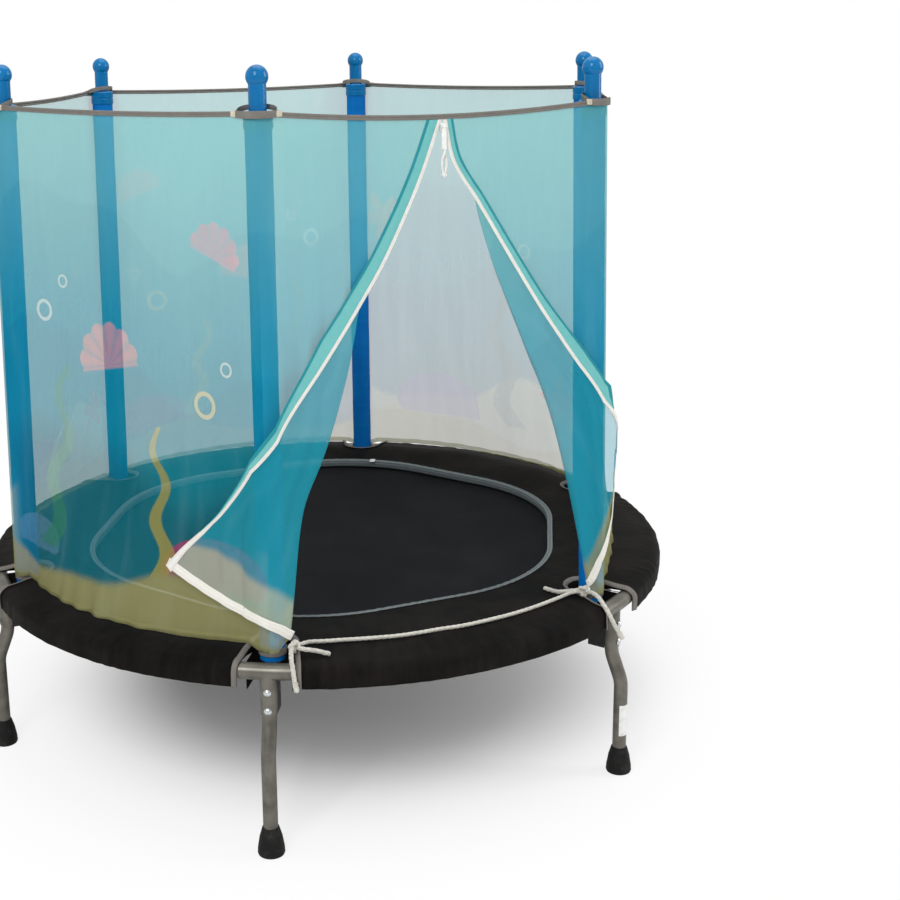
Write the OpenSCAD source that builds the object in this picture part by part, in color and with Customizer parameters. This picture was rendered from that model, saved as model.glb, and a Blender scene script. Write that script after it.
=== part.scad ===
// Children's mini trampoline with a zipped safety net, in millimetres.
// The floor is z = 0, the doorway faces -Y, and post 1 stands at the doorway's left.

/* [Ring] */
// Radius of the ring tube's centreline
ring_r = 655; // [625:1:700]
// Height of the ring tube's centreline above the floor
ring_z = 318; // [305:1:380]
// Outer diameter of the ring tube and of the stubs under it
ring_d = 28; // [25.4:0.1:32]
// Wall of every steel tube
tube_wall = 1.4; // [1:0.1:2]
// Gap between two ring sections where they meet
section_gap = 0.6; // [0.2:0.1:2]
// Length of the reduced end that plugs into the next section
spigot_l = 40; // [20:1:60]
// Length that the reduced end keeps inside its own section
spigot_root = 20; // [10:1:30]
// Radial play of a tube inside another tube
plug_gap = 0.2; // [0.15:0.05:0.4]

/* [Legs] */
// How far the stub's open end lies below the ring's centreline
stub_drop = 74; // [66:1:90]
// Outer diameter of a leg
leg_d = 25; // [22:0.1:25]
// How far a foot stands outside the ring's centreline
leg_out = 21; // [12:1:40]
// Height of the leg's upper bend above the floor
leg_bend_z = 242; // [200:1:244]
// Radius of the leg's bends
leg_bend_r = 60; // [50:1:80]
// Angle of the leg's bends
leg_bend_a = 22; // [15:1:28]
// Height of a rubber foot
foot_h = 50; // [35:1:60]
// Widest diameter of a rubber foot
foot_d = 46; // [36:1:60]
// Thickness of rubber under the leg's end
foot_sole = 6; // [3:0.5:10]
// Rubber round the leg at the foot's mouth
foot_lip = 1.8; // [1:0.1:4]

/* [Bolts] */
// Shank diameter of the leg bolts
bolt_d = 6; // [5:0.5:7]
// Radial play of a bolt in its holes
bolt_gap = 0.25; // [0.15:0.05:0.4]
// Diameter of a bolt's domed head
bolt_head_d = 13; // [10:0.5:15]
// Height of a bolt's domed head
bolt_head_h = 4.5; // [3:0.5:6]
// Depth of the upper bolt below the ring's centreline
bolt_top_drop = 32; // [30:1:36]
// Distance between a stub's two bolts
bolt_pitch = 33; // [28:1:36]
// Width across a nut's flats
nut_af = 10; // [8:0.5:11]
// Thickness of a nut
nut_h = 5; // [4:0.5:7]

/* [Posts] */
// Distance from the ring's centreline inwards to the posts' axes, at the height of the ring
post_inset = 45; // [40:1:50]
// Outer diameter of a post's steel tube
post_d = 25; // [22:0.1:26]
// Angle by which the net draws each post inwards
post_lean = 1.2; // [0:0.1:2]
// Depth of a post's lower end below the ring's centreline
post_drop = 50; // [45:1:56]
// Length of a post's tube
post_l = 944; // [700:1:1100]
// Outer diameter of the foam sleeve
foam_d = 43; // [36:1:46]
// Radial play between the foam and what it touches
foam_gap = 0.4; // [0.3:0.1:0.8]
// Height of the foam's lower end above the ring's centreline
foam_start = 4; // [2:1:12]
// Width of the spacer block between a post and its stub
spacer_w = 24; // [20:1:26]
// Height of the spacer block
spacer_h = 60; // [56:1:66]

/* [Caps] */
// Outer diameter of a cap's collar
collar_d = 46.4; // [42:0.1:52]
// Height of a cap's collar
collar_h = 26; // [18:1:36]
// Depth of foam held in the collar
collar_grip = 6; // [4:1:10]
// Diameter of a cap's stem
stem_d = 28; // [26:0.5:32]
// Height of the ball's centre above the collar
ball_rise = 52; // [40:1:70]
// Diameter of a cap's ball
ball_d = 35.4; // [32:0.1:42]

/* [Mat and springs] */
// Distance from the ring's centreline inwards to the mat's edge
mat_inset = 155; // [150:1:160]
// Thickness of the mat
mat_t = 2; // [1:0.1:3]
// Height of the mat's upper face above the ring's centreline
mat_rise = 6; // [4:0.5:8]
// Width of the webbing sewn under the mat's edge
webbing_w = 22; // [16:1:30]
// Thickness of the webbing
webbing_t = 1.8; // [1:0.1:2.5]
// Length of a mat ring, from its inner bar to its tip
hook_ring_l = 32; // [26:1:40]
// Width of a mat ring
hook_ring_w = 26; // [20:1:34]
// Thickness of a mat ring
hook_ring_t = 2.4; // [1.6:0.1:3]
// Springs between two posts
springs_per_side = 5; // [3:1:6]
// Outer diameter of a spring
spring_d = 13; // [10:0.5:15]
// Length of a spring's coils
spring_l = 84; // [60:1:96]
// Diameter of a spring's hooks
hook_d = 2.6; // [2:0.1:3.2]
// Radial play of a hook in its hole in the ring
hook_gap = 0.5; // [0.3:0.1:0.8]

/* [Pad] */
// How far the pad reaches inwards over the mat's edge, at the middle of each side
pad_lap = 48; // [40:1:60]
// How far the inner edge's corners reach beyond its flats
pad_corner = 22; // [10:1:30]
// Height of the pad's underside above the mat
pad_lift = 3; // [2:0.5:6]
// Thickness of the pad at its inner edge
pad_edge_t = 14; // [10:0.5:18]
// Extra height of the pad's crown
pad_crown = 4.5; // [2:0.5:8]
// Thickness of the pad's cover over the ring
cover_t = 3; // [2:0.5:5]
// Play between the pad's cover and the ring
cover_gap = 1; // [0.5:0.1:2]
// Depth of the pad's skirt below the ring's centreline
skirt_drop = 22; // [16:1:24]
// Half width of the slot at a post
slot_half = 40; // [34:1:46]
// Half width of the slot at the pad's outer edge
slot_mouth = 50; // [46:1:58]
// Distance from a post's axis to the slot's inner end
slot_in = 48; // [36:1:60]
// Width of the grey binding tapes on the pad
binding_w = 9; // [6:1:14]
// Thickness of the grey binding tapes
binding_t = 1.2; // [0.8:0.1:2]

/* [Net] */
// Thickness of the net cloth
net_t = 0.8; // [0.5:0.1:1.2]
// Play between the net and the caps' collars
net_gap = 0.8; // [0.6:0.1:2]
// Height of the net's rim above the collars' tops
rim_rise = 1; // [0.5:0.5:4]
// Depth of the sag between two posts
rim_sag = 8; // [0:1:14]
// Depth of the sag over the doorway, where the zip hangs
door_sag = 15; // [0:1:20]
// Height of the rim tape
rim_tape_h = 10; // [6:0.5:14]
// Thickness of the rim tape and of its loops
rim_tape_t = 1.2; // [0.8:0.1:1.6]
// Half the distance between a loop's two ends on the rim
loop_half_w = 31; // [28:1:36]
// Height of the net's hem above the ring's centreline
hem_rise = 31; // [29:1:40]
// Distance from the ring's centreline inwards to the circle that the hem is drawn out to
hem_inset = 40; // [34:1:60]
// Height above the ring's centreline where the net starts to flare
flare_rise = 380; // [200:10:600]

/* [Zip] */
// Distance between a flap's free edge and the zip tape beside it
zip_gap = 0.8; // [0.5:0.1:0.9]
// Width of a flap's folded-back part at which its zip tape has turned over
zip_turn = 15; // [10:1:20]
// Width of the zip tape on each flap's free edge
zip_tape_w = 4; // [3:0.5:4]
// Thickness of the zip tape and of the flaps' lower bands
zip_tape_t = 1.4; // [1:0.1:1.8]
// Width of the white band on each flap's lower edge
flap_band_w = 10; // [6:0.5:16]
// Width of the zip slider
slider_w = 10; // [8:0.5:12]
// Height of the zip slider
slider_h = 16; // [12:0.5:20]
// Distance of the slider's top below the rim
slider_drop = 13; // [12:0.5:20]
// Length of the pull tab
tab_l = 36; // [24:1:44]
// Width of the pull tab
tab_w = 8; // [6:0.5:10]
// Thickness of the pull tab
tab_t = 1.8; // [1.2:0.1:2.5]
// Radius of the bar that the pull tab turns on
bar_r = 1.1; // [0.8:0.1:1.4]
// Running play of the pull tab on its bar
bar_gap = 0.06; // [0.03:0.01:0.09]
// Length of the cord loop on the pull tab
pull_cord_l = 46; // [30:1:60]
// Diameter of the cord loop
pull_cord_d = 2.4; // [1.6:0.1:3]

/* [Rope and labels] */
// Diameter of the rope across the doorway
rope_d = 7; // [4:0.5:8]
// Height of the white sticker on a leg
sticker_h = 60; // [30:1:80]
// Height of the sticker's lower edge above the floor
sticker_z = 75; // [60:1:90]

/* [Hidden] */

sides = 6;
side_a = 360 / sides;
half_a = side_a / 2;
eps = 0.01;
// Least distance kept between soft pieces and their neighbours
soft_gap = 0.3;

steel = [0.38, 0.38, 0.35];
dark_steel = [0.25, 0.25, 0.24];
zinc = [0.8, 0.8, 0.82];
cap_blue = [0.0, 0.45, 0.8];
foam_blue = [0.0, 0.42, 0.76];
rubber_black = [0.08, 0.08, 0.08];
mat_black = [0.12, 0.12, 0.12];
pad_black = [0.1, 0.095, 0.09];
binding_grey = [0.4, 0.42, 0.44];
elastic_grey = [0.53, 0.52, 0.5];
net_teal = [0.45, 0.72, 0.74];
flap_teal = [0.2, 0.62, 0.7];
cloth_white = [0.93, 0.92, 0.88];

tube_r = ring_d / 2;
bore_r = tube_r - tube_wall;
leg_r = leg_d / 2;
post_tube_r = post_d / 2;
foam_r = foam_d / 2;
collar_r = collar_d / 2;
bolt_z = [ring_z - bolt_top_drop, ring_z - bolt_top_drop - bolt_pitch];
hole_r = bolt_d / 2 + bolt_gap;
leg_top_z = ring_z - tube_r - tube_wall - 3;
leg_foot_r = ring_r + leg_out;
// Straight run between the leg's bends that brings the foot out by leg_out
leg_mid_l = (leg_out - 2 * leg_bend_r * (1 - cos(leg_bend_a))) / sin(leg_bend_a);
leg_low_l = leg_bend_z - 2 * leg_bend_r * sin(leg_bend_a) - leg_mid_l * cos(leg_bend_a) - foot_sole;
post_r = ring_r - post_inset;
mat_r = ring_r - mat_inset;
pad_inner_r = mat_r - pad_lap;
hem_r = ring_r - hem_inset;
// Heights along a post's own leaning axis, from the ring's centreline
post_top = post_l - post_drop;
collar_base = post_top - collar_h - 2;
collar_top = collar_base + collar_h;
foam_top = collar_base + collar_grip;
mat_z = ring_z + mat_rise;
hook_r = mat_r - webbing_w / 2 + hook_ring_l;
hook_z = mat_z - mat_t - webbing_t - 2 * soft_gap - hook_ring_t / 2;
pad_z = mat_z + pad_lift;
pad_top_z = pad_z + pad_edge_t;
slot_r = post_r - slot_in + slot_half;
pad_out = ring_r + tube_r + cover_gap + cover_t;

// Radius and height of the leaning posts' axes
function axis_r(z) = post_r - tan(post_lean) * (z - ring_z);
function along_z(t) = ring_z + t * cos(post_lean);

module at_post(k) rotate([0, 0, side_a * (k - 1) - half_a]) children();
module at_every_post() for (k = [1 : sides]) at_post(k) children();
module on_axis(k) at_post(k) translate([0, -post_r, ring_z]) rotate([-post_lean, 0, 0]) children();

// ---- Steel tube ----

// Arc of round bar or tube bore, centred on -Y, between two angles
module ring_arc(r, from, to) {
    translate([0, 0, ring_z])
        rotate([0, 0, from - 90])
            rotate_extrude(angle = to - from, $fn = 96)
                translate([ring_r, 0]) circle(r = r, $fn = 32);
}

module radial_hole(r, z) {
    translate([0, -ring_r - tube_r - 5, z]) rotate([-90, 0, 0]) cylinder(r = r, h = 2 * tube_r + 10, $fn = 24);
}

// A hole in the ring's inner side for each spring's outer hook
module spring_holes() {
    for (i = [0 : springs_per_side - 1])
        rotate([0, 0, spring_angle(i)]) translate([0, -ring_r, ring_z - hook_sink()])
            rotate([-90, 0, 0]) cylinder(r = hook_d / 2 + hook_gap, h = tube_r + 2, $fn = 16);
}

// Two sections meet between two springs, this angle past the post
joint_a = half_a - (springs_per_side % 2 == 1 ? side_a / springs_per_side / 2 : 0);

// One sixth of the ring with its welded stub. Its end towards the next section is reduced to fit inside it.
module frame_section(k) {
    gap_a = section_gap / 2 / ring_r * 180 / PI;
    end_a = joint_a - gap_a;
    plug_a = spigot_l / ring_r * 180 / PI;
    root_a = spigot_root / ring_r * 180 / PI;
    plug_r = bore_r - plug_gap;
    weld = tube_wall / 3;
    color(steel) at_post(k) difference() {
        union() {
            difference() {
                union() {
                    ring_arc(tube_r, joint_a - side_a + gap_a, end_a);
                    ring_arc(plug_r, end_a - root_a / 2, joint_a + plug_a);
                }
                ring_arc(bore_r, joint_a - side_a - 1, end_a - root_a);
                ring_arc(plug_r - tube_wall, end_a - root_a - 0.5, joint_a + plug_a + 1);
            }
            difference() {
                translate([0, -ring_r, ring_z - stub_drop]) cylinder(r = tube_r, h = stub_drop - 3, $fn = 48);
                ring_arc(tube_r - weld, -4, 4);
            }
        }
        translate([0, -ring_r, ring_z - stub_drop - 1])
            cylinder(r = bore_r, h = stub_drop - tube_r - tube_wall + 1, $fn = 48);
        for (z = bolt_z) radial_hole(hole_r, z);
        spring_holes();
        rotate([0, 0, -side_a]) spring_holes();
    }
}

// A bend that starts downwards and turns outwards, or inwards if turn is negative. It runs a little way
// into the straight runs at both ends, and is thinner by a hair, so that it fuses with them.
module elbow(pipe_r, bend_r, turn) {
    lap = 1;
    rotate([0, 0, turn < 0 ? 180 : 0])
        translate([0, -bend_r, 0])
            rotate([-90, 0, 90])
                rotate([0, 0, -lap]) rotate_extrude(angle = abs(turn) + 2 * lap, $fn = 72)
                    translate([bend_r, 0]) circle(r = pipe_r - 0.05, $fn = 32);
}

// Straight runs joined by elbows, from the origin downwards
module bent_pipe(pipe_r, bend_r, runs, turns, i = 0) {
    turn = i < len(turns) ? turns[i] : 0;
    side = turn < 0 ? 1 : -1;
    translate([0, 0, -runs[i]]) {
        cylinder(r = pipe_r, h = runs[i], $fn = 32);
        if (i < len(turns)) {
            elbow(pipe_r, bend_r, turn);
            translate([0, side * bend_r * (1 - cos(turn)), -bend_r * sin(abs(turn))])
                rotate([-turn, 0, 0])
                    bent_pipe(pipe_r, bend_r, runs, turns, i + 1);
        }
    }
}

module leg(k) {
    top_l = leg_top_z - leg_bend_z;
    turns = [leg_bend_a, -leg_bend_a];
    color(steel) at_post(k) difference() {
        translate([0, -ring_r, leg_top_z])
            bent_pipe(leg_r, leg_bend_r, [top_l, leg_mid_l, leg_low_l], turns);
        translate([0, -ring_r, leg_top_z + 1])
            bent_pipe(leg_r - tube_wall, leg_bend_r, [top_l + 1, leg_mid_l, leg_low_l + 1], turns);
        for (z = bolt_z) radial_hole(hole_r, z);
    }
}

// Bell-shaped foot with a flat sole and a socket for the leg
module rubber_feet() {
    base_r = foot_d / 2;
    socket_r = leg_r + plug_gap;
    mouth_r = socket_r + foot_lip;
    color(rubber_black) at_every_post() translate([0, -leg_foot_r, 0]) difference() {
        rotate_extrude($fn = 48) polygon([
            [0, 0], [base_r - 4, 0], [base_r - 1.2, 1.6], [base_r, 4.5], [base_r - 0.6, foot_h * 0.28],
            [base_r - (base_r - mouth_r) * 0.45, foot_h * 0.66], [mouth_r, foot_h - 1],
            [mouth_r - 0.6, foot_h], [0, foot_h]
        ]);
        translate([0, 0, foot_sole - plug_gap]) cylinder(r = socket_r, h = foot_h, $fn = 32);
    }
}

// ---- Bolts and spacers ----

// Inner end of each bolt: past the post for the upper one, inside the spacer for the lower one
upper_nut_r = axis_r(bolt_z[0]) - post_tube_r - 0.6;
lower_nut_r = axis_r(bolt_z[1]) + post_tube_r - 2;
nut_seat_r = [upper_nut_r, lower_nut_r + nut_h];
head_r = ring_r + tube_r + 0.2;

module leg_bolts() {
    color(zinc) at_every_post() for (i = [0, 1]) translate([0, -head_r, bolt_z[i]]) rotate([-90, 0, 0]) {
        translate([0, 0, -eps]) cylinder(r = bolt_d / 2, h = head_r - nut_seat_r[i] + nut_h + 2, $fn = 24);
        rotate_extrude($fn = 32) difference() {
            intersection() {
                translate([0, bolt_head_d * 0.33]) circle(r = bolt_head_d * 0.6, $fn = 48);
                translate([0, -bolt_head_h]) square([bolt_head_d / 2, bolt_head_h]);
            }
            translate([-bolt_head_d, -bolt_head_h]) square([bolt_head_d, 2 * bolt_head_h]);
        }
    }
}

module lock_nuts() {
    color(zinc) at_every_post() for (i = [0, 1]) translate([0, -nut_seat_r[i], bolt_z[i]]) rotate([-90, 0, 0])
        difference() {
            cylinder(d = nut_af / cos(30), h = nut_h, $fn = 6);
            translate([0, 0, -1]) cylinder(r = bolt_d / 2 + 0.05, h = nut_h + 2, $fn = 24);
        }
}

module spacer_blocks() {
    low_z = bolt_z[1] - (spacer_h - bolt_pitch) / 2;
    back_r = post_r + post_tube_r - 9;
    front_r = ring_r - tube_r + 6;
    color(rubber_black) at_every_post() difference() {
        translate([-spacer_w / 2, -front_r, low_z]) cube([spacer_w, front_r - back_r, spacer_h]);
        translate([0, -ring_r, low_z - 1]) cylinder(r = tube_r + plug_gap, h = spacer_h + 2, $fn = 48);
        translate([0, -post_r, ring_z]) rotate([-post_lean, 0, 0])
            translate([0, 0, -post_drop - plug_gap]) cylinder(r = post_tube_r + plug_gap, h = post_drop, $fn = 48);
        for (z = bolt_z) radial_hole_through(z);
        translate([0, -nut_seat_r[1] - plug_gap, bolt_z[1]]) rotate([-90, 0, 0])
            cylinder(d = nut_af / cos(30) + 2 * plug_gap, h = 30, $fn = 6);
    }
}

module radial_hole_through(z) {
    translate([0, -ring_r, z]) rotate([-90, 0, 0]) cylinder(r = hole_r, h = ring_r - post_r + 40, $fn = 24);
}

// ---- Posts ----

module post_tube(k) {
    color(dark_steel) difference() {
        on_axis(k) translate([0, 0, -post_drop]) difference() {
            cylinder(r = post_tube_r, h = post_l, $fn = 48);
            translate([0, 0, -1]) cylinder(r = post_tube_r - tube_wall, h = post_l + 2, $fn = 48);
        }
        at_post(k) radial_hole_through(bolt_z[0]);
    }
}

module foam_sleeve(k) {
    color(foam_blue) on_axis(k) translate([0, 0, foam_start]) difference() {
        cylinder(r = foam_r, h = foam_top - foam_start, $fn = 64);
        translate([0, 0, -1]) cylinder(r = post_tube_r + foam_gap, h = foam_top, $fn = 48);
    }
}

module post_cap(k) {
    shoulder = 2;
    color(cap_blue) on_axis(k) translate([0, 0, collar_base]) difference() {
        union() {
            rotate_extrude($fn = 64) polygon([
                [0, 0], [collar_r - 0.6, 0], [collar_r, 0.8], [collar_r, collar_h * 0.38],
                [collar_r - 0.7, collar_h * 0.42], [collar_r - 0.7, collar_h * 0.5], [collar_r, collar_h * 0.54],
                [collar_r, collar_h - shoulder], [collar_r - shoulder, collar_h], [0, collar_h]
            ]);
            cylinder(d = stem_d, h = collar_h + ball_rise, $fn = 48);
            translate([0, 0, collar_h + ball_rise]) sphere(d = ball_d, $fn = 64);
        }
        translate([0, 0, -1]) cylinder(r = foam_r + foam_gap, h = collar_grip + foam_gap + 1, $fn = 64);
        translate([0, 0, -1])
            cylinder(r = post_tube_r + plug_gap, h = post_top - collar_base + plug_gap + 1, $fn = 48);
    }
}

// ---- Mat and springs ----

function spring_angle(i) = side_a * (i + 0.5) / springs_per_side;
// Width of a mat ring's bar, and depth of the hook below the spring's axis
hook_bar = 3;
hook_drop = hook_ring_t / 2 + hook_d / 2 + soft_gap;
// Depth of the spring's axis below the ring's centreline, level with the mat's rings
function hook_sink() = ring_z - hook_z;

module at_every_spring() {
    for (k = [1 : sides], i = [0 : springs_per_side - 1]) at_post(k) rotate([0, 0, spring_angle(i)]) children();
}

module jumping_mat() {
    color(mat_black) translate([0, 0, mat_z - mat_t]) cylinder(r = mat_r, h = mat_t, $fn = 120);
}

module mat_webbing() {
    color(rubber_black) translate([0, 0, mat_z - mat_t - soft_gap - webbing_t])
        rotate_extrude($fn = 120) translate([mat_r - webbing_w, 0]) square([webbing_w, webbing_t]);
}

// Flat triangular rings: the wide bar lies under the webbing, the tip takes a spring
module mat_rings() {
    bar = hook_bar;
    tip = 4;
    half_w = hook_ring_w / 2;
    color(zinc) at_every_spring() translate([0, -hook_r + hook_ring_l, hook_z - hook_ring_t / 2])
        linear_extrude(height = hook_ring_t) difference() {
            polygon([[-half_w, 0], [half_w, 0], [half_w, -bar], [tip, -hook_ring_l], [-tip, -hook_ring_l],
                [-half_w, -bar]]);
            polygon([[-half_w + bar + 1, -bar], [half_w - bar - 1, -bar], [tip - 1, bar + 1 - hook_ring_l],
                [1 - tip, bar + 1 - hook_ring_l]]);
        }
}

module mat_springs() {
    // The inner hook stands against the far end of the mat ring's opening
    inner = hook_r - hook_bar - 1 - hook_d / 2 - soft_gap;
    outer = ring_r - tube_r + tube_wall + 3;
    start = (inner + outer - spring_l) / 2 - 4;
    color(zinc) at_every_spring() translate([0, 0, hook_z]) rotate([90, 0, 0]) {
        translate([0, 0, start]) cylinder(d = spring_d, h = spring_l, $fn = 20);
        translate([0, 0, start + spring_l - eps]) cylinder(d = hook_d, h = outer - start - spring_l, $fn = 12);
        // The inner hook drops below the mat ring's tip and rises through its opening
        translate([0, -hook_drop, inner]) cylinder(d = hook_d, h = start - inner + 1, $fn = 12);
        translate([0, -hook_drop - hook_d / 2, inner]) rotate([-90, 0, 0])
            cylinder(d = hook_d, h = hook_drop + hook_d, $fn = 12);
    }
}

// ---- Safety pad ----

// The pad's inner edge: a hexagon with straight flats and widely rounded corners towards the posts
module rounded_hexagon(grow) {
    // Corner arcs of radius r about centres at distance c, so that the flats are tangent to them
    c = pad_corner / (1 - cos(half_a));
    r = pad_inner_r - c * cos(half_a) + grow;
    polygon([for (k = [1 : sides], b = [-half_a : half_a / 8 : half_a]) let (a = side_a * k - half_a)
        [c * sin(a) + r * sin(a + b), -c * cos(a) - r * cos(a + b)]]);
}

// Outline of the slot at a post, round inside and open outwards; grow widens it
module slot_outline(grow) {
    far = ring_r + tube_r + 40;
    half = slot_half + grow;
    mouth = slot_mouth + grow;
    polygon(concat(
        [for (b = [0 : 9 : 180]) [half * cos(b), half * sin(b) - slot_r]],
        [[-mouth, -pad_out], [-mouth, -far], [mouth, -far], [mouth, -pad_out]]
    ));
}

// Upper outline of the pad from its inner edge over the ring to the skirt, moved outwards by off
function pad_over(off) = concat(
    [[pad_inner_r - 30, pad_top_z + off], [pad_inner_r + 35, pad_top_z + off]],
    [for (t = [1 : 4]) [
        pad_inner_r + 35 + (ring_r - 25 - pad_inner_r - 35) * t / 4,
        pad_top_z + off + pad_crown * sin(45 * t) - 1.2 * pow(t / 4, 2)
    ]],
    [for (a = [75 : -25 : 0]) [
        ring_r + (tube_r + cover_gap + cover_t + off) * cos(a),
        ring_z + (tube_r + cover_gap + cover_t + off) * sin(a)
    ]],
    [[pad_out + off, ring_z - skirt_drop]]
);

// Underside: flat over the springs, then close round the ring
pad_under = concat(
    [for (a = [0 : 22.5 : 90]) [
        ring_r + (tube_r + cover_gap) * cos(a),
        ring_z + (tube_r + cover_gap) * sin(a)
    ]],
    [[ring_r - tube_r - 8, ring_z + tube_r - 1], [ring_r - 60, pad_z + 2], [mat_r, pad_z], [pad_inner_r - 30, pad_z]]
);

module pad_body(off) {
    rotate_extrude($fn = 120) polygon(concat(pad_over(off), [[pad_out - cover_t, ring_z - skirt_drop]], pad_under));
}

module safety_pad() {
    color(pad_black) difference() {
        pad_body(0);
        translate([0, 0, pad_z - 5]) linear_extrude(height = 50) rounded_hexagon(0);
        at_every_post() translate([0, 0, ring_z - 60]) linear_extrude(height = 120) slot_outline(0);
    }
}

module pad_inner_binding() {
    low = pad_z;
    color(binding_grey) difference() {
        translate([0, 0, low]) linear_extrude(height = pad_edge_t + soft_gap + binding_t) rounded_hexagon(binding_w);
        translate([0, 0, low - 1]) linear_extrude(height = pad_edge_t + 9) rounded_hexagon(-soft_gap - binding_t);
        translate([0, 0, low - 1]) linear_extrude(height = pad_edge_t + soft_gap + 1) difference() {
            rounded_hexagon(binding_w + 9);
            rounded_hexagon(-soft_gap);
        }
    }
}

// Tape laid on the pad along both edges of each slot
module slot_bindings() {
    color(elastic_grey) at_every_post() intersection() {
        rotate([0, 0, -90 - half_a / 2]) rotate_extrude(angle = half_a, $fn = 120)
            polygon(concat(pad_over(soft_gap + binding_t), [for (i = [len(pad_over(0)) - 1 : -1 : 0])
                pad_over(soft_gap)[i]]));
        translate([0, 0, ring_z - 60]) linear_extrude(height = 120) difference() {
            slot_outline(binding_w);
            slot_outline(0.5);
        }
    }
}

// ---- Cloth ----

// A closed sheet of thickness t laid on a grid of points, its faces half of t to each side
function unit(v) = v / norm(v);
function grid_normal(g, i, j) = let (
    n = len(g) - 1,
    m = len(g[0]) - 1,
    du = g[min(i + 1, n)][j] - g[max(i - 1, 0)][j],
    dv = g[i][min(j + 1, m)] - g[i][max(j - 1, 0)]
) unit(cross(du, dv));

module sheet(g, t) {
    n = len(g);
    m = len(g[0]);
    half = n * m;
    front = [for (i = [0 : n - 1], j = [0 : m - 1]) g[i][j] + grid_normal(g, i, j) * t / 2];
    back = [for (i = [0 : n - 1], j = [0 : m - 1]) g[i][j] - grid_normal(g, i, j) * t / 2];
    function at(i, j) = i * m + j;
    cells = [for (i = [0 : n - 2], j = [0 : m - 2]) [at(i, j), at(i, j + 1), at(i + 1, j + 1), at(i + 1, j)]];
    rim = concat(
        [for (j = [0 : m - 1]) at(0, j)],
        [for (i = [1 : n - 1]) at(i, m - 1)],
        [for (j = [m - 2 : -1 : 0]) at(n - 1, j)],
        [for (i = [n - 2 : -1 : 1]) at(i, 0)]
    );
    faces = concat(
        [for (c = cells) [c[0], c[1], c[2]]],
        [for (c = cells) [c[0], c[2], c[3]]],
        [for (c = cells) [half + c[2], half + c[1], half + c[0]]],
        [for (c = cells) [half + c[3], half + c[2], half + c[0]]],
        [for (e = [0 : len(rim) - 1]) let (a = rim[e], b = rim[(e + 1) % len(rim)]) [half + a, b, a]],
        [for (e = [0 : len(rim) - 1]) let (a = rim[e], b = rim[(e + 1) % len(rim)]) [half + a, half + b, b]]
    );
    polyhedron(points = concat(front, back), faces = faces);
}

// Distance between a post's axis and the middle of the net that bends round it
net_wrap = collar_r + net_gap + net_t / 2;
function half_side(z) = axis_r(z) * sin(half_a);
function flat_r(z) = axis_r(z) * cos(half_a) + net_wrap;
// Length of the net's bend round one post
wrap_l = net_wrap * side_a * PI / 180;

// Point of the net at distance s from a side's middle, height z, moved outwards by off.
// Past a post, the path goes on along the next side.
function net_point(s, z, off = 0) = let (
    h = half_side(z),
    beyond = abs(s) - h,
    turn = min(max(beyond, 0), wrap_l) / net_wrap * 180 / PI,
    on = max(beyond - wrap_l, 0),
    side = s < 0 ? -1 : 1,
    x = min(abs(s), h) + (net_wrap + off) * sin(turn) + on * cos(side_a),
    y = axis_r(z) * cos(half_a) + (net_wrap + off) * cos(turn) - on * sin(side_a)
) [side * x, -y, z];

rim_z = along_z(collar_top) + rim_rise;
hem_z = ring_z + hem_rise;
flare_z = ring_z + flare_rise;
function rim_at(s, sag) = rim_z - sag * (1 - pow(min(abs(s) / half_side(rim_z), 1), 2));
// How far the hem is drawn out at s, fading to nothing at flare_z
function flare(s, z) = z >= flare_z ? 0 : let (
    out = sqrt(max(pow(hem_r, 2) - s * s, 0)) - flat_r(z)
) max(out, 0) * pow((flare_z - z) / (flare_z - hem_z), 2);

seam_s = wrap_l / 2 - soft_gap;
// Distances along a side where the net's grid has its columns
function side_steps(h) = concat(
    [-h - seam_s, -h - seam_s / 2, -h],
    [for (i = [-4 : 4]) i * h / 5],
    [h, h + seam_s / 2, h + seam_s]
);

module net_panel(i) {
    rows = 9;
    color(net_teal, 0.5) rotate([0, 0, side_a * i]) sheet([
        for (r = [0 : rows]) [
            for (c = [0 : 14]) let (
                f = r / rows,
                s_top = side_steps(half_side(rim_z))[c],
                z = hem_z + (rim_at(s_top, rim_sag) - hem_z) * f,
                s = side_steps(half_side(z))[c]
            ) net_point(s, z, flare(s, z))
        ]
    ], net_t);
}

// ---- Doorway flaps ----

// Each curve lists [distance along the net from the doorway's middle, height, distance off the net],
// from the rim down. The free edge carries the zip. Low down, the flap is folded back over itself.
left_zip = [
    [-1, 1195, 0], [-42, 1094, 2], [-101, 980, 4], [-153, 902, 7], [-188, 854, 10], [-224, 808, 14],
    [-285, 730, 17], [-329, 650, 18], [-385, 580, 19], [-422, 546, 20], [-466, 508, 20], [-497, 476, 20]
];
left_fold = [
    [-40, 1196, 0], [-84, 1094, 1], [-125, 980, 2], [-147, 900, 3], [-158, 850, 5], [-170, 800, 6],
    [-192, 728, 6], [-218, 660, 7], [-248, 596, 7], [-262, 540, 8], [-273, 450, 8], [-282, 384, 8]
];
right_zip = [
    [9, 1195, 0], [24, 1124, 2], [66, 1057, 5], [98, 1004, 8], [140, 935, 12], [176, 878, 15],
    [212, 826, 17], [245, 780, 18], [280, 735, 19], [306, 693, 20], [326, 650, 20], [341, 600, 19]
];
right_fold = [
    [48, 1196, 0], [56, 1124, 1], [61, 1053, 3], [86, 965, 6], [112, 898, 7], [134, 845, 8],
    [158, 788, 8], [180, 738, 8], [205, 668, 8], [230, 576, 8], [254, 475, 8], [275, 384, 8]
];
// How far each folded-back part bows out of a straight line between its fold and its zip
left_bow = 1.1;
right_bow = 0.5;
flap_rows = len(left_zip);
near_steps = 5;
far_steps = 6;

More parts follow.
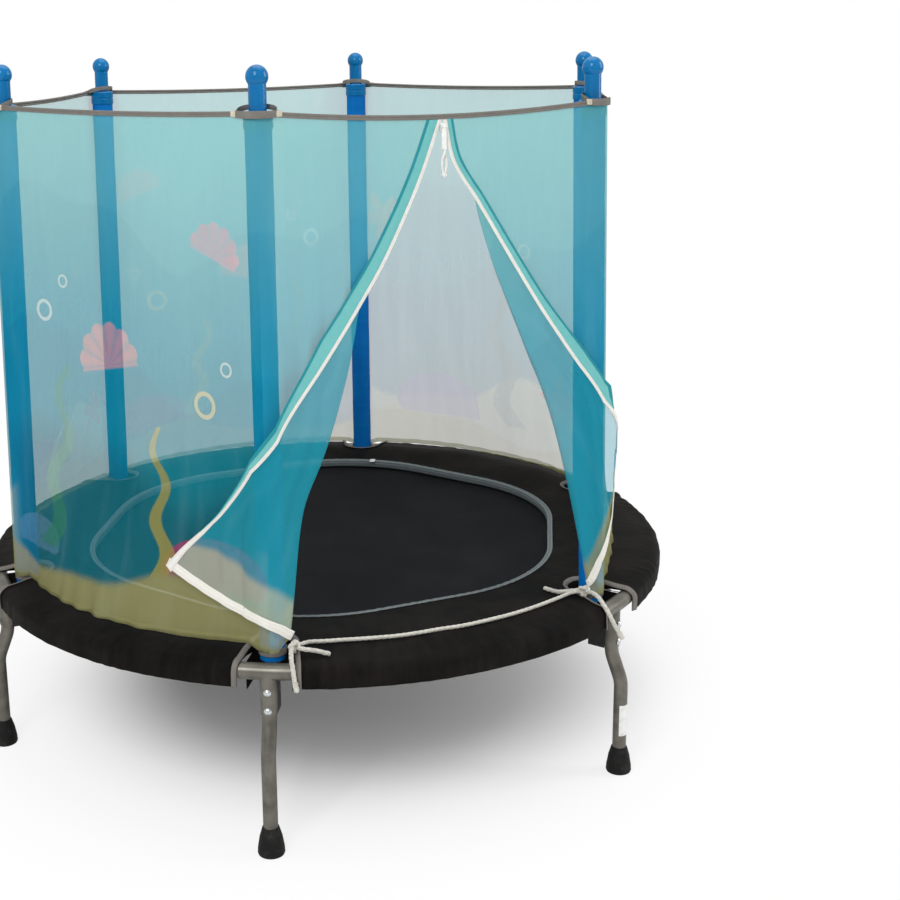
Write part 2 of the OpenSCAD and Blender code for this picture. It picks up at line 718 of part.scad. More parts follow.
// Points of the net's neighbour panel lie under a flap that is folded round the post
function under_flap(s, z) = let (
    beyond = abs(s) - half_side(z) - wrap_l
) beyond > 0 ? flare(half_side(z) - beyond, z) : 0;
function placed(row) = [for (p = row) net_point(p[0], p[1], p[2] + under_flap(p[0], p[1]))];

// One row of a flap: round the post, on to the fold, round the fold, then back to the free edge
function flap_row(zip, fold, side, bow, i) = let (
    f = i / (flap_rows - 1),
    p_z = rim_z + (hem_z - rim_z) * f,
    h = side * half_side(p_z),
    lift = min(8 * f, 1),
    a = fold[i],
    b = zip[i],
    slack = min(2 * lift, norm(b - a) / 20),
    wrapped = [for (c = [0 : 1]) [h + side * seam_s * (1 - c / 2), p_z, lift]],
    near = [for (c = [0 : near_steps]) let (u = c / near_steps) [
        h + (a[0] - h) * u,
        p_z + (a[1] - p_z) * u - 0.75 * door_sag * u * (1 - u) * pow(1 - f, 3),
        lift + (a[2] - lift) * pow(u, 2) + 2.5 * lift * sin(180 * u) * sin(110 * u + 160 * f)
    ]],
    far = [for (c = [1 : far_steps]) let (u = c / far_steps) [
        a[0] + (b[0] - a[0]) * pow(u, bow),
        a[1] + (b[1] - a[1]) * u,
        a[2] + (b[2] - a[2]) * pow(u, 0.5) + slack * sin(180 * u) * sin(90 + 200 * f)
    ]]
) concat(wrapped, near, far);

function flap_grid(zip, fold, side, bow) = [for (i = [0 : flap_rows - 1]) flap_row(zip, fold, side, bow, i)];

module door_flap(zip, fold, side, bow) {
    color(flap_teal, 0.7) sheet([for (row = flap_grid(zip, fold, side, bow)) placed(row)], net_t);
}

// Strip between two edges given along the net
module strip(edge_a, edge_b, t) {
    a = placed(edge_a);
    b = placed(edge_b);
    sheet([for (i = [0 : len(a) - 1]) [a[i], b[i]]], t);
}

// Point of a curve at a row number that may lie between two rows
function between(curve, f) = let (
    i = min(floor(f), len(curve) - 2)
) curve[i] + (curve[i + 1] - curve[i]) * (f - i);

// Step of length d off a flap's free edge, square to it and away from the flap. Where the flap starts
// to fold back, the step turns over by way of the net's outside.
function past_edge(zip, fold, side, f, d) = let (
    run = between(zip, min(f + 1, flap_rows - 1)) - between(zip, max(f - 1, 0)),
    inward = unit([side * run[1], -side * run[0], 0]),
    width = (between(zip, f) - between(fold, f)) * inward,
    angle = 90 - 90 * max(-1, min(1, width / zip_turn))
) between(zip, f) + d * (inward * cos(angle) + [0, 0, sin(angle)]);

// Rows along a free edge, closer together where its tape turns over
tape_rows = concat([0], [for (f = [1 : 0.25 : 4]) f], [for (f = [5 : flap_rows - 1]) f]);

module zip_tape(zip, fold, side) {
    strip([for (f = tape_rows) past_edge(zip, fold, side, f, zip_gap)],
        [for (f = tape_rows) past_edge(zip, fold, side, f, zip_gap + zip_tape_w)], zip_tape_t);
}

module zip_tapes() {
    color(cloth_white) {
        zip_tape(left_zip, left_fold, -1);
        zip_tape(right_zip, right_fold, 1);
    }
}

// Band along a flap's lower edge, from the fold to the free edge
module flap_band(zip, fold, side, bow) {
    row = flap_row(zip, fold, side, bow, flap_rows - 1);
    edge = [for (i = [len(row) - far_steps : len(row) - 1]) row[i]];
    a = edge[0];
    b = edge[len(edge) - 1];
    down = unit([side * (b[1] - a[1]), -abs(b[0] - a[0]), 0]);
    strip([for (p = edge) p + down * (soft_gap + net_t / 2)],
        [for (p = edge) p + down * (soft_gap + flap_band_w)], zip_tape_t);
}

module flap_bands() {
    color(cloth_white) {
        flap_band(left_zip, left_fold, -1, left_bow);
        flap_band(right_zip, right_fold, 1, right_bow);
    }
}

// ---- Rim and loops ----

module rim_tape() {
    off = net_t / 2 + 2 * soft_gap + rim_tape_t / 2;
    steps = side_steps(half_side(rim_z));
    color(binding_grey) for (i = [0 : sides - 1]) let (sag = i == 0 ? door_sag : rim_sag)
        rotate([0, 0, side_a * i]) strip(
            [for (s = steps) [s, rim_at(s, sag) - rim_tape_h, off]],
            [for (s = steps) [s, rim_at(s, sag), off]],
            rim_tape_t
        );
}

// Tape that passes inside a cap's stem and joins the rim on both sides of it
module post_loops() {
    // How far outside the post's axis the rim lies where the loop's ends meet it
    run = (loop_half_w - net_wrap * sin(half_a)) / cos(half_a);
    rim_off = net_wrap * cos(half_a) - run * sin(half_a) - net_t / 2 - 2 * soft_gap;
    depth = rim_off + stem_d / 2 + soft_gap + rim_tape_t;
    function oval(grow) = [for (a = [0 : 15 : 180]) [(loop_half_w + grow) * cos(a), (depth + grow) * sin(a)]];
    inner = oval(-rim_tape_t);
    color(binding_grey) at_every_post()
        translate([0, -axis_r(rim_z) - rim_off, along_z(collar_top) + soft_gap])
            linear_extrude(height = rim_tape_h - 2) polygon(concat(oval(0), [for (i = [12 : -1 : 0]) inner[i]]));
}

// Elastic round the outer half of each post, sewn inside the net's hem
module hem_loops() {
    inner = foam_r + soft_gap;
    color(elastic_grey) for (k = [1 : sides]) on_axis(k) translate([0, 0, hem_rise - 13])
        rotate([0, 0, 165]) rotate_extrude(angle = 210, $fn = 64)
            translate([inner, 0]) square([1.5, 14]);
}

// ---- Zip slider ----

slider_s = 4;
slider_z = rim_z - door_sag - slider_drop;
slider_y = -flat_r(slider_z) - 0.6;
plate_t = 1.6;
plate_gap = 2.6;
bar_y = -plate_gap / 2 - plate_t - 2.6;
bar_z = -5;
knuckle_r = bar_r + 1.2;
ear_t = 1.4;
knuckle_l = slider_w - 2 * ear_t - 0.6;

module at_slider() translate([slider_s, slider_y, slider_z]) children();

module slider_plate() {
    half = slider_w / 2;
    rotate([90, 0, 0]) linear_extrude(height = plate_t)
        polygon([[-half, -1], [-half + 1, 0], [half - 1, 0], [half, -1], [half - 1, 2 - slider_h],
            [half - 3, -slider_h], [3 - half, -slider_h], [1 - half, 2 - slider_h]]);
}

module zip_slider() {
    color(cloth_white) at_slider() {
        translate([0, -plate_gap / 2, 0]) slider_plate();
        translate([0, plate_gap / 2 + plate_t, 0]) slider_plate();
        translate([-1.2, -plate_gap / 2 - eps, -slider_h / 2]) cube([2.4, plate_gap + 2 * eps, slider_h / 2 - 1]);
        for (x = [-slider_w / 2, slider_w / 2 - ear_t]) translate([x, bar_y - bar_r - 0.8, bar_z - 2])
            cube([ear_t, -bar_y - plate_gap / 2 + bar_r + 0.8 - plate_t + eps, 4]);
        translate([-slider_w / 2 + ear_t - eps, bar_y, bar_z]) rotate([0, 90, 0])
            cylinder(r = bar_r, h = slider_w - 2 * ear_t + 2 * eps, $fn = 24);
    }
}

cord_hole_r = pull_cord_d / 2 + 0.5;
cord_eye_z = bar_z - tab_l + cord_hole_r + 1.6;

module pull_tab() {
    color(cloth_white) at_slider() difference() {
        union() {
            translate([-knuckle_l / 2, bar_y, bar_z]) rotate([0, 90, 0])
                cylinder(r = knuckle_r, h = knuckle_l, $fn = 24);
            translate([-knuckle_l / 2, bar_y - tab_t / 2, bar_z - 8]) cube([knuckle_l, tab_t, 8]);
            translate([-tab_w / 2, bar_y - tab_t / 2, bar_z - tab_l]) cube([tab_w, tab_t, tab_l - 6]);
        }
        translate([-tab_w, bar_y, bar_z]) rotate([0, 90, 0]) cylinder(r = bar_r + bar_gap, h = 2 * tab_w, $fn = 24);
        translate([0, bar_y - tab_t, cord_eye_z]) rotate([-90, 0, 0])
            cylinder(r = cord_hole_r, h = 2 * tab_t, $fn = 24);
    }
}

// A round loop of cord through the tab's eye, drawn out downwards
module pull_cord() {
    r = pull_cord_d / 2;
    bow = tab_t / 2 + r + 0.4;
    run = pull_cord_l - 2 * bow;
    color(cloth_white) at_slider() translate([0, bar_y, cord_eye_z]) {
        translate([0, 0, -bow]) rotate([0, -90, 0]) rotate([0, 0, -90])
            rotate_extrude(angle = 180, $fn = 32) translate([bow, 0]) circle(r = r, $fn = 16);
        translate([0, 0, -bow - run]) {
            for (y = [-bow, bow]) translate([0, y, 0]) cylinder(r = r, h = run, $fn = 16);
            rotate([0, -90, 0]) rotate([0, 0, 90])
                rotate_extrude(angle = 180, $fn = 32) translate([bow, 0]) circle(r = r, $fn = 16);
        }
    }
}

// ---- Rope on the sill ----

knot_a = [-281, -566, 353];
knot_b = [274, -556, 353];
sill_path = [
    [-276, -563, 352], [-268, -558, 351], [-260, -554, 350], [-246, -551, 349], [-222, -557, 348],
    [-199, -563, 348], [-165, -573, 348], [-130, -582, 348], [-101, -588, 348], [-64, -591, 348],
    [-28, -592, 348], [14, -595, 348], [60, -592, 348], [104, -587, 348], [148, -578, 348], [190, -566, 348],
    [225, -554, 348], [246, -548, 349], [258, -550, 351], [268, -554, 352]
];
tail_paths = [
    [[-277, -571, 352], [-268, -577, 350], [-257, -581, 348], [-246, -586, 346], [-238, -591, 344],
        [-230, -598, 343]],
    [[-286, -571, 353], [-292, -582, 354], [-297, -595, 352], [-300, -605, 345], [-300, -611, 332],
        [-299, -613, 316], [-296, -613, 300], [-295, -613, 295]],
    [[268, -553, 354], [256, -545, 352], [244, -538, 350], [234, -532, 349], [227, -520, 349], [221, -506, 349]],
    [[276, -562, 354], [279, -578, 355], [280, -594, 353], [280, -608, 347], [283, -620, 336], [287, -629, 322],
        [297, -626, 306], [308, -621, 291], [318, -616, 277]]
];

function along(path, i) = let (n = len(path) - 1) unit(path[min(i + 1, n)] - path[max(i - 1, 0)]);
// Points of one ring of the rope, square to its path
function rope_ring(path, i, r, n) = let (
    t = along(path, i),
    u = unit(cross(t, abs(t[2]) > 0.8 ? [1, 0, 0] : [0, 0, 1])),
    v = cross(t, u)
) [for (a = [0 : n - 1]) path[i] + r * (u * cos(360 * a / n) + v * sin(360 * a / n))];

// One closed tube swept along a path
module rope(path, d, n = 8) {
    m = len(path);
    points = [for (i = [0 : m - 1]) each rope_ring(path, i, d / 2, n)];
    faces = concat(
        [[for (a = [0 : n - 1]) a]],
        [for (i = [0 : m - 2], a = [0 : n - 1]) let (b = (a + 1) % n) [i * n + a, (i + 1) * n + b, i * n + b]],
        [for (i = [0 : m - 2], a = [0 : n - 1]) let (b = (a + 1) % n) [i * n + a, (i + 1) * n + a, (i + 1) * n + b]],
        [[for (a = [n - 1 : -1 : 0]) (m - 1) * n + a]]
    );
    polyhedron(points = points, faces = faces);
}

module sill_rope() {
    color(cloth_white) rope(sill_path, rope_d);
}

module rope_tails() {
    color(cloth_white) for (path = tail_paths) rope(path, rope_d * 0.9);
}

module rope_knots() {
    color(cloth_white) for (p = [knot_a, knot_b]) translate(p) sphere(r = rope_d * 1.25, $fn = 24);
}

// ---- Labels ----

module labels() {
    tag_a = 145;
    color(cloth_white) {
        rotate([0, 0, tag_a]) translate([-6, -pad_inner_r - pad_corner - 4, pad_top_z + 2 * soft_gap + binding_t])
            cube([12, 14, 0.6]);
        at_post(2) translate([0, -leg_foot_r, sticker_z]) rotate([0, 0, -162])
            rotate_extrude(angle = 140, $fn = 48) translate([leg_r + 0.1, 0]) square([0.3, sticker_h]);
    }
}

frame_section(1);  // frame_section_1
frame_section(2);  // frame_section_2
frame_section(3);  // frame_section_3
frame_section(4);  // frame_section_4
frame_section(5);  // frame_section_5
frame_section(6);  // frame_section_6
leg(1);  // leg_1
leg(2);  // leg_2
leg(3);  // leg_3
leg(4);  // leg_4
leg(5);  // leg_5
leg(6);  // leg_6
rubber_feet();
post_tube(1);  // post_tube_1
post_tube(2);  // post_tube_2
post_tube(3);  // post_tube_3
post_tube(4);  // post_tube_4
post_tube(5);  // post_tube_5
post_tube(6);  // post_tube_6
foam_sleeve(1);  // foam_sleeve_1
foam_sleeve(2);  // foam_sleeve_2
foam_sleeve(3);  // foam_sleeve_3
foam_sleeve(4);  // foam_sleeve_4
foam_sleeve(5);  // foam_sleeve_5
foam_sleeve(6);  // foam_sleeve_6
post_cap(1);  // post_cap_1
post_cap(2);  // post_cap_2
post_cap(3);  // post_cap_3
post_cap(4);  // post_cap_4
post_cap(5);  // post_cap_5
post_cap(6);  // post_cap_6
spacer_blocks();
leg_bolts();
lock_nuts();
jumping_mat();
mat_webbing();
mat_rings();
mat_springs();
safety_pad();
pad_inner_binding();
slot_bindings();
net_panel(1);  // net_panel_1
net_panel(2);  // net_panel_2
net_panel(3);  // net_panel_3
net_panel(4);  // net_panel_4
net_panel(5);  // net_panel_5
door_flap(left_zip, left_fold, -1, left_bow);  // door_flap_left
door_flap(right_zip, right_fold, 1, right_bow);  // door_flap_right
rim_tape();
post_loops();
hem_loops();
zip_tapes();
flap_bands();
zip_slider();
pull_tab();
pull_cord();
sill_rope();
rope_knots();
rope_tails();
labels();
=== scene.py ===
import logging
import math
from dataclasses import dataclass, field
from enum import Enum
from functools import partial
from typing import Callable, Sequence

import bmesh
import bpy
import numpy as np
from mathutils import Matrix


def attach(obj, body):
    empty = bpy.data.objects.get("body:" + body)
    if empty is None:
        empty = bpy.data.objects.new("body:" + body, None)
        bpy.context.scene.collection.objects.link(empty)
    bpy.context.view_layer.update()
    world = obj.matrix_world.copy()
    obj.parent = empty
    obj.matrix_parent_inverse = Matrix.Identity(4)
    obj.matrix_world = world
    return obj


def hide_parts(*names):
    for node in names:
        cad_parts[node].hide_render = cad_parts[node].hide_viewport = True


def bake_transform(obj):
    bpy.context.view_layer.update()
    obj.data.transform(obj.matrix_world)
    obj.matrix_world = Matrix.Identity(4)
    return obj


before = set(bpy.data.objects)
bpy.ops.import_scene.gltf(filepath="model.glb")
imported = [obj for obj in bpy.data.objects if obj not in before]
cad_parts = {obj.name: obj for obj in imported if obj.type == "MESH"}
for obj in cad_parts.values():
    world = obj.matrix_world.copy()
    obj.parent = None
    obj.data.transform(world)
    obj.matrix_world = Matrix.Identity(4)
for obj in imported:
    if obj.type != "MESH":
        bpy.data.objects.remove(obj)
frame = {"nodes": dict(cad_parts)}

Array = np.ndarray
Socket = bpy.types.NodeSocket
Piece = bpy.types.Object
Colour = tuple[float, float, float]

RIGHT, BACK, UP = np.eye(3)
WHITE = (1.0, 1.0, 1.0)

log = logging.getLogger("trampoline")
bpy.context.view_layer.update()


# ---------------------------------------------------------------- shared sizes


@dataclass(frozen=True)
class Build:
    """Sizes that several sub-assemblies share, in metres and degrees."""

    sides: int = 6
    ring_r: float = 0.655
    ring_z: float = 0.318
    post_r: float = 0.610
    post_lean: float = 1.2
    foam_r: float = 0.0215
    foam_low: float = 0.004
    foam_high: float = 0.872
    stem_r: float = 0.014
    mat_r: float = 0.500
    mat_z: float = 0.324
    pad_out_r: float = 0.673
    pad_z: float = 0.327
    pad_top_z: float = 0.341
    skirt_z: float = 0.296
    net_wrap: float = 0.0244
    rim_z: float = 1.2108
    hem_z: float = 0.349
    hem_r: float = 0.615
    flare_z: float = 0.698
    rim_sag: float = 0.005
    door_sag: float = 0.015

    @property
    def half_angle(self) -> float:
        """Half of the angle between two posts, in radians."""
        return math.pi / self.sides

    @property
    def wrap_l(self) -> float:
        """Length of the net's bend round one post."""
        return self.net_wrap * 2 * self.half_angle

    def post_angle(self, k: int) -> float:
        """Angle of post k (1 to 6) from the doorway's direction, in radians."""
        return 2 * self.half_angle * (k - 1) - self.half_angle

    @property
    def post_angles(self) -> list[float]:
        """Angles of all posts from the doorway's direction, in radians."""
        return [self.post_angle(k) for k in range(1, self.sides + 1)]

    def axis_r(self, z: Array | float) -> Array | float:
        """Distance of a leaning post's axis from the middle at height z."""
        return self.post_r - math.tan(math.radians(self.post_lean)) * (z - self.ring_z)

    def half_side(self, z: Array | float) -> Array | float:
        """Half the straight length of one side of the net at height z."""
        return self.axis_r(z) * math.sin(self.half_angle)

    def flat_r(self, z: Array | float) -> Array | float:
        """Distance of a side's straight part from the middle at height z."""
        return self.axis_r(z) * math.cos(self.half_angle) + self.net_wrap


BUILD = Build()


# ---------------------------------------------------------------- arrays and meshes


def turned(points: Array, angle: float) -> Array:
    """Points (..., 3) turned about the vertical axis by an angle in radians."""
    c, s = math.cos(angle), math.sin(angle)
    return points @ np.array([[c, s, 0.0], [-s, c, 0.0], [0.0, 0.0, 1.0]])


def unit(vectors: Array) -> Array:
    """Scale each vector of the last axis to length one."""
    return vectors / np.maximum(np.linalg.norm(vectors, axis=-1, keepdims=True), 1e-12)


def columns(*parts: Array | float) -> Array:
    """Arrays or numbers of one shape, side by side on a new last axis."""
    return np.stack(np.broadcast_arrays(*parts), axis=-1)


def polar(r: Array | float, angle: Array, *height: Array | float) -> Array:
    """Points at a radius and an angle from the first axis, with a height where one is given."""
    return columns(r * np.cos(angle), r * np.sin(angle), *height)


def round_steps(count: int) -> Array:
    """Angles of so many even steps round a circle, in radians."""
    return np.arange(count) * 2 * np.pi / count


def smoothstep(low: float, high: float, x: Array) -> Array:
    """Rise smoothly from 0 at low to 1 at high."""
    t = np.clip((np.asarray(x, float) - low) / (high - low), 0, 1)
    return t * t * (3 - 2 * t)


def ripples(seed: int, waves: int, low: float, high: float, *axes: Array) -> Array:
    """Smooth seeded noise: the mean of sine waves of random direction, length and phase.

    Args:
        seed: Seed of the random directions, so that every run gives the same cloth.
        waves: Number of sine waves that are added.
        low: Lowest number of waves per metre.
        high: Highest number of waves per metre.
        axes: One coordinate array in metres for each direction.

    Returns:
        Values of about -1 to 1, shaped like the coordinates.
    """
    rng = np.random.default_rng(seed)
    total = np.zeros(np.broadcast(*axes).shape)
    for _ in range(waves):
        direction = rng.normal(size=len(axes))
        direction *= rng.uniform(low, high) * 2 * np.pi / np.linalg.norm(direction)
        total += np.sin(sum(d * a for d, a in zip(direction, axes)) + rng.uniform(0, 2 * np.pi))
    return total / math.sqrt(waves)


def spline(knots: Array, t: Array) -> Array:
    """Catmull-Rom curve through the knots (k, d), at positions t from 0 to k - 1.

    Each point is the cubic through its two neighbouring knots whose slopes are half the
    distance between the knots on either side.
    """
    ends = np.vstack([2 * knots[0] - knots[1], knots, 2 * knots[-1] - knots[-2]])
    i = np.clip(np.floor(t).astype(int), 0, len(knots) - 2)
    u = (np.asarray(t) - i)[:, None]
    a, b, c, d = (ends[i + k] for k in range(4))
    return 0.5 * (2 * b + (c - a) * u + (2 * a - 5 * b + 4 * c - d) * u**2 + (3 * b - a - 3 * c + d) * u**3)


def resample(path: Array, step: float) -> Array:
    """Points spaced evenly along a smooth curve through a path, about one step apart."""
    fine = spline(path, np.linspace(0, len(path) - 1, 40 * len(path)))
    run = np.concatenate([[0], np.cumsum(np.linalg.norm(np.diff(fine, axis=0), axis=1))])
    count = max(int(round(run[-1] / step)), 4) + 1
    even = np.linspace(0, run[-1], count)
    return np.stack([np.interp(even, run, fine[:, k]) for k in range(3)], axis=1)


def path_length(path: Array) -> float:
    """Length of a path of points."""
    return float(np.linalg.norm(np.diff(path, axis=0), axis=1).sum())


def run_along(path: Array) -> Array:
    """Even distances from 0 to a path's length, one for each of its points."""
    return np.linspace(0, path_length(path), len(path))


def course(path: Array) -> Array:
    """Direction of an open path at each of its points."""
    return unit(np.gradient(path, axis=0))


def squared(vectors: Array, along: Array) -> Array:
    """The part of each vector that is square to the direction along, at length one."""
    return unit(vectors - along * (vectors * along).sum(axis=1, keepdims=True))


@dataclass
class Shell:
    """A surface being put together from grids of points.

    Attributes:
        points: List of point arrays (n, 3).
        faces: List of corner-number arrays (f, 4).
        uvs: List of texture coordinates (f, 4, 2), one for each face array.
    """

    points: list[Array] = field(default_factory=list)
    faces: list[Array] = field(default_factory=list)
    uvs: list[Array] = field(default_factory=list)

    def count(self) -> int:
        """Number of points so far."""
        return sum(len(p) for p in self.points)

    def grid(self, points: Array, around: bool = False, along: bool = False, uv: Array | None = None,
             flip: bool = False) -> "Shell":
        """Add a surface given on a grid of two parameters.

        Args:
            points: Array (n, m, 3); the first parameter runs along, the second across.
            around: True if the second parameter closes on itself.
            along: True if the first parameter closes on itself.
            uv: Array (n + along, m + around, 2), or None for the two parameters themselves.
            flip: True to turn the faces round.

        Returns:
            The shell, so that calls can be chained.
        """
        n, m = points.shape[:2]
        rows, cells = n - 1 + along, m - 1 + around
        i, j = np.meshgrid(np.arange(rows), np.arange(cells), indexing="ij")
        corners = [(i, j), (i, j + 1), (i + 1, j + 1), (i + 1, j)]
        if flip:
            corners.reverse()
        if uv is None:
            uv = columns(np.linspace(0, 1, rows + 1)[:, None], np.linspace(0, 1, cells + 1))
        start = self.count()
        faces = columns(*(start + (a % n) * m + b % m for a, b in corners))
        self.points.append(points.reshape(-1, 3))
        self.faces.append(faces.reshape(-1, 4))
        self.uvs.append(np.stack([uv[a, b] for a, b in corners], axis=2).reshape(-1, 4, 2))
        return self

    def tube(self, path: Array, across: Array, up: Array, section: Array, closed: bool = False) -> "Shell":
        """Add a closed section carried along a path.

        Each point is the path's point, plus the section's first value along across, plus its
        second value along up. Open ends shrink to a point, which closes them.

        Args:
            path: Array (n, 3).
            across: The section's first direction, or an array (n, 3) of it at each point.
            up: The section's second direction, or an array (n, 3) of it at each point.
            section: Array (m, 2), or (n, m, 2) where it changes along the path.
            closed: True if the path closes on itself.

        Returns:
            The shell, so that calls can be chained.
        """
        n = len(path)
        shape = np.broadcast_to(section, (n, *section.shape[-2:]))
        across, up = (np.broadcast_to(v, path.shape)[:, None] for v in (across, up))
        points = path[:, None] + shape[..., :1] * across + shape[..., 1:] * up
        step = np.linalg.norm(np.diff(path, axis=0, append=path[:1]), axis=1)
        run = np.concatenate([[0], np.cumsum(step)])[: n + closed]
        outline = np.linalg.norm(np.diff(shape[0], axis=0, append=shape[0][:1]), axis=1)
        girth = np.concatenate([[0], np.cumsum(outline)])
        if not closed:
            middle = points.mean(axis=1, keepdims=True)
            points = np.concatenate([np.repeat(middle[:1], points.shape[1], 1), points,
                                     np.repeat(middle[-1:], points.shape[1], 1)])
            run = np.concatenate([run[:1], run, run[-1:]])
        return self.grid(points, around=True, along=closed, uv=columns(run[:, None], girth))

    def copies(self, transforms: Sequence[Callable[[Array], Array]]) -> "Shell":
        """A new shell with one copy of this one for each transform."""
        result = Shell()
        for move in transforms:
            start = result.count()
            result.faces += [f + start for f in self.faces]
            result.points += [move(p) for p in self.points]
            result.uvs += self.uvs
        return result

    def turned_to(self, angles: Sequence[float]) -> "Shell":
        """A new shell with one copy of this one turned by each angle."""
        return self.copies([partial(turned, angle=a) for a in angles])

    def piece(self, name: str, outwards: bool = True, weld: float = 1e-6) -> Piece:
        """Turn the shell into a smooth-shaded object at the origin.

        Args:
            name: Name of the object.
            outwards: True to make a closed shell's faces point outwards.
            weld: Distance under which points become one.

        Returns:
            The new object, linked to the scene.
        """
        mesh = bpy.data.meshes.new(name)
        mesh.from_pydata(np.concatenate(self.points).tolist(), [], np.concatenate(self.faces).tolist())
        layer = mesh.uv_layers.new(name="lay")
        layer.data.foreach_set("uv", np.concatenate(self.uvs).astype(np.float32).ravel())
        work = bmesh.new()
        work.from_mesh(mesh)
        bmesh.ops.remove_doubles(work, verts=work.verts, dist=weld)
        bmesh.ops.dissolve_degenerate(work, edges=work.edges, dist=weld)
        if outwards:
            bmesh.ops.recalc_face_normals(work, faces=work.faces)
        work.to_mesh(mesh)
        work.free()
        mesh.polygons.foreach_set("use_smooth", np.ones(len(mesh.polygons), bool))
        mesh.update()
        made = bpy.data.objects.new(name, mesh)
        bpy.context.scene.collection.objects.link(made)
        return made


def rounded_bar(width: float, height: float, r: float, steps: int = 3) -> Array:
    """Outline (4 * (steps + 1), 2) of a rectangle about the origin with rounded corners.

    Each corner is a quarter circle of radius r about a point r inside both edges.
    """
    turn = np.linspace(0, np.pi / 2, steps + 1)
    corners = [(1, 1, 0), (-1, 1, np.pi / 2), (-1, -1, np.pi), (1, -1, 3 * np.pi / 2)]
    return np.concatenate([
        columns(a * (width / 2 - r) + r * np.cos(turn + start), b * (height / 2 - r) + r * np.sin(turn + start))
        for a, b, start in corners
    ])


def ridged_bar(width: float, height: float, r: float, count: int) -> Array:
    """Sections of a sewn tack: a rounded bar, of which every second one is 12% smaller."""
    return rounded_bar(width, height, r) * (1 - 0.12 * (np.arange(count) % 2)[:, None, None])


def circle(r: float, count: int) -> Array:
    """Outline of a circle about the origin, as an array (count, 2)."""
    return polar(r, round_steps(count))


def frames(path: Array, towards: Array, closed: bool = False) -> tuple[Array, Array, Array]:
    """Directions along and square to a path.

    Args:
        path: Array (n, 3).
        towards: Direction, or array (n, 3), that the last direction keeps nearest to.
        closed: True if the path closes on itself.

    Returns:
        Arrays (n, 3): along the path, square to both it and towards, and square to the first two.
    """
    if closed:
        tangent = unit(np.roll(path, -1, 0) - np.roll(path, 1, 0))
    else:
        tangent = course(path)
    side = unit(np.cross(tangent, np.broadcast_to(towards, path.shape)))
    return tangent, side, np.cross(side, tangent)


# ---------------------------------------------------------------- finishes


def srgb(red: float, green: float, blue: float) -> Colour:
    """Linear colour of an 8-bit sRGB one."""
    c = np.array([red, green, blue]) / 255
    linear = np.where(c <= 0.04045, c / 12.92, ((c + 0.055) / 1.055) ** 2.4)
    return tuple(float(x) for x in linear)


class Graph:
    """A tree of shader nodes, written as expressions on their sockets."""

    def __init__(self, tree: bpy.types.NodeTree) -> None:
        """Start by emptying the node tree of a material or a world."""
        self.tree = tree
        tree.nodes.clear()

    def put(self, socket: Socket, value: object) -> None:
        """Link a socket to another one, or set its own value."""
        if isinstance(value, bpy.types.NodeSocket):
            self.tree.links.new(value, socket)
        elif isinstance(value, tuple) and len(value) == 3 and socket.type == "RGBA":
            socket.default_value = (*value, 1.0)
        else:
            socket.default_value = value

    def new(self, kind: str, *values: object, **inputs: object) -> bpy.types.Node:
        """Add a node.

        Args:
            kind: What follows ShaderNode in the node's type.
            values: Values or sockets for its first inputs, in their order.
            inputs: Values or sockets by name, with underscores for blanks.

        Returns:
            The node.
        """
        made = self.tree.nodes.new("ShaderNode" + kind)
        for socket, value in zip(made.inputs, values):
            self.put(socket, value)
        for key, value in inputs.items():
            self.put(made.inputs[key.replace("_", " ")], value)
        return made

    def math(self, operation: str, *values: object, clamp: bool = False) -> Socket:
        """One arithmetic step on numbers or sockets; values that are left out are 0."""
        made = self.new("Math", *values, 0.0, 0.0)
        made.operation, made.use_clamp = operation, clamp
        return made.outputs[0]

    def add(self, a: object, b: object) -> Socket:
        """The sum of a and b."""
        return self.math("ADD", a, b)

    def sub(self, a: object, b: object) -> Socket:
        """The difference a less b."""
        return self.math("SUBTRACT", a, b)

    def mul(self, a: object, b: object) -> Socket:
        """The product of a and b."""
        return self.math("MULTIPLY", a, b)

    def mad(self, a: object, b: object, c: object) -> Socket:
        """The product of a and b, plus c."""
        return self.math("MULTIPLY_ADD", a, b, c)

    def sine(self, x: object, factor: float) -> Socket:
        """The sine of x times a factor."""
        return self.math("SINE", self.mul(x, factor))

    def length(self, x: Socket, y: Socket) -> Socket:
        """The root of the sum of two squares."""
        return self.math("SQRT", self.add(self.mul(x, x), self.mul(y, y)))


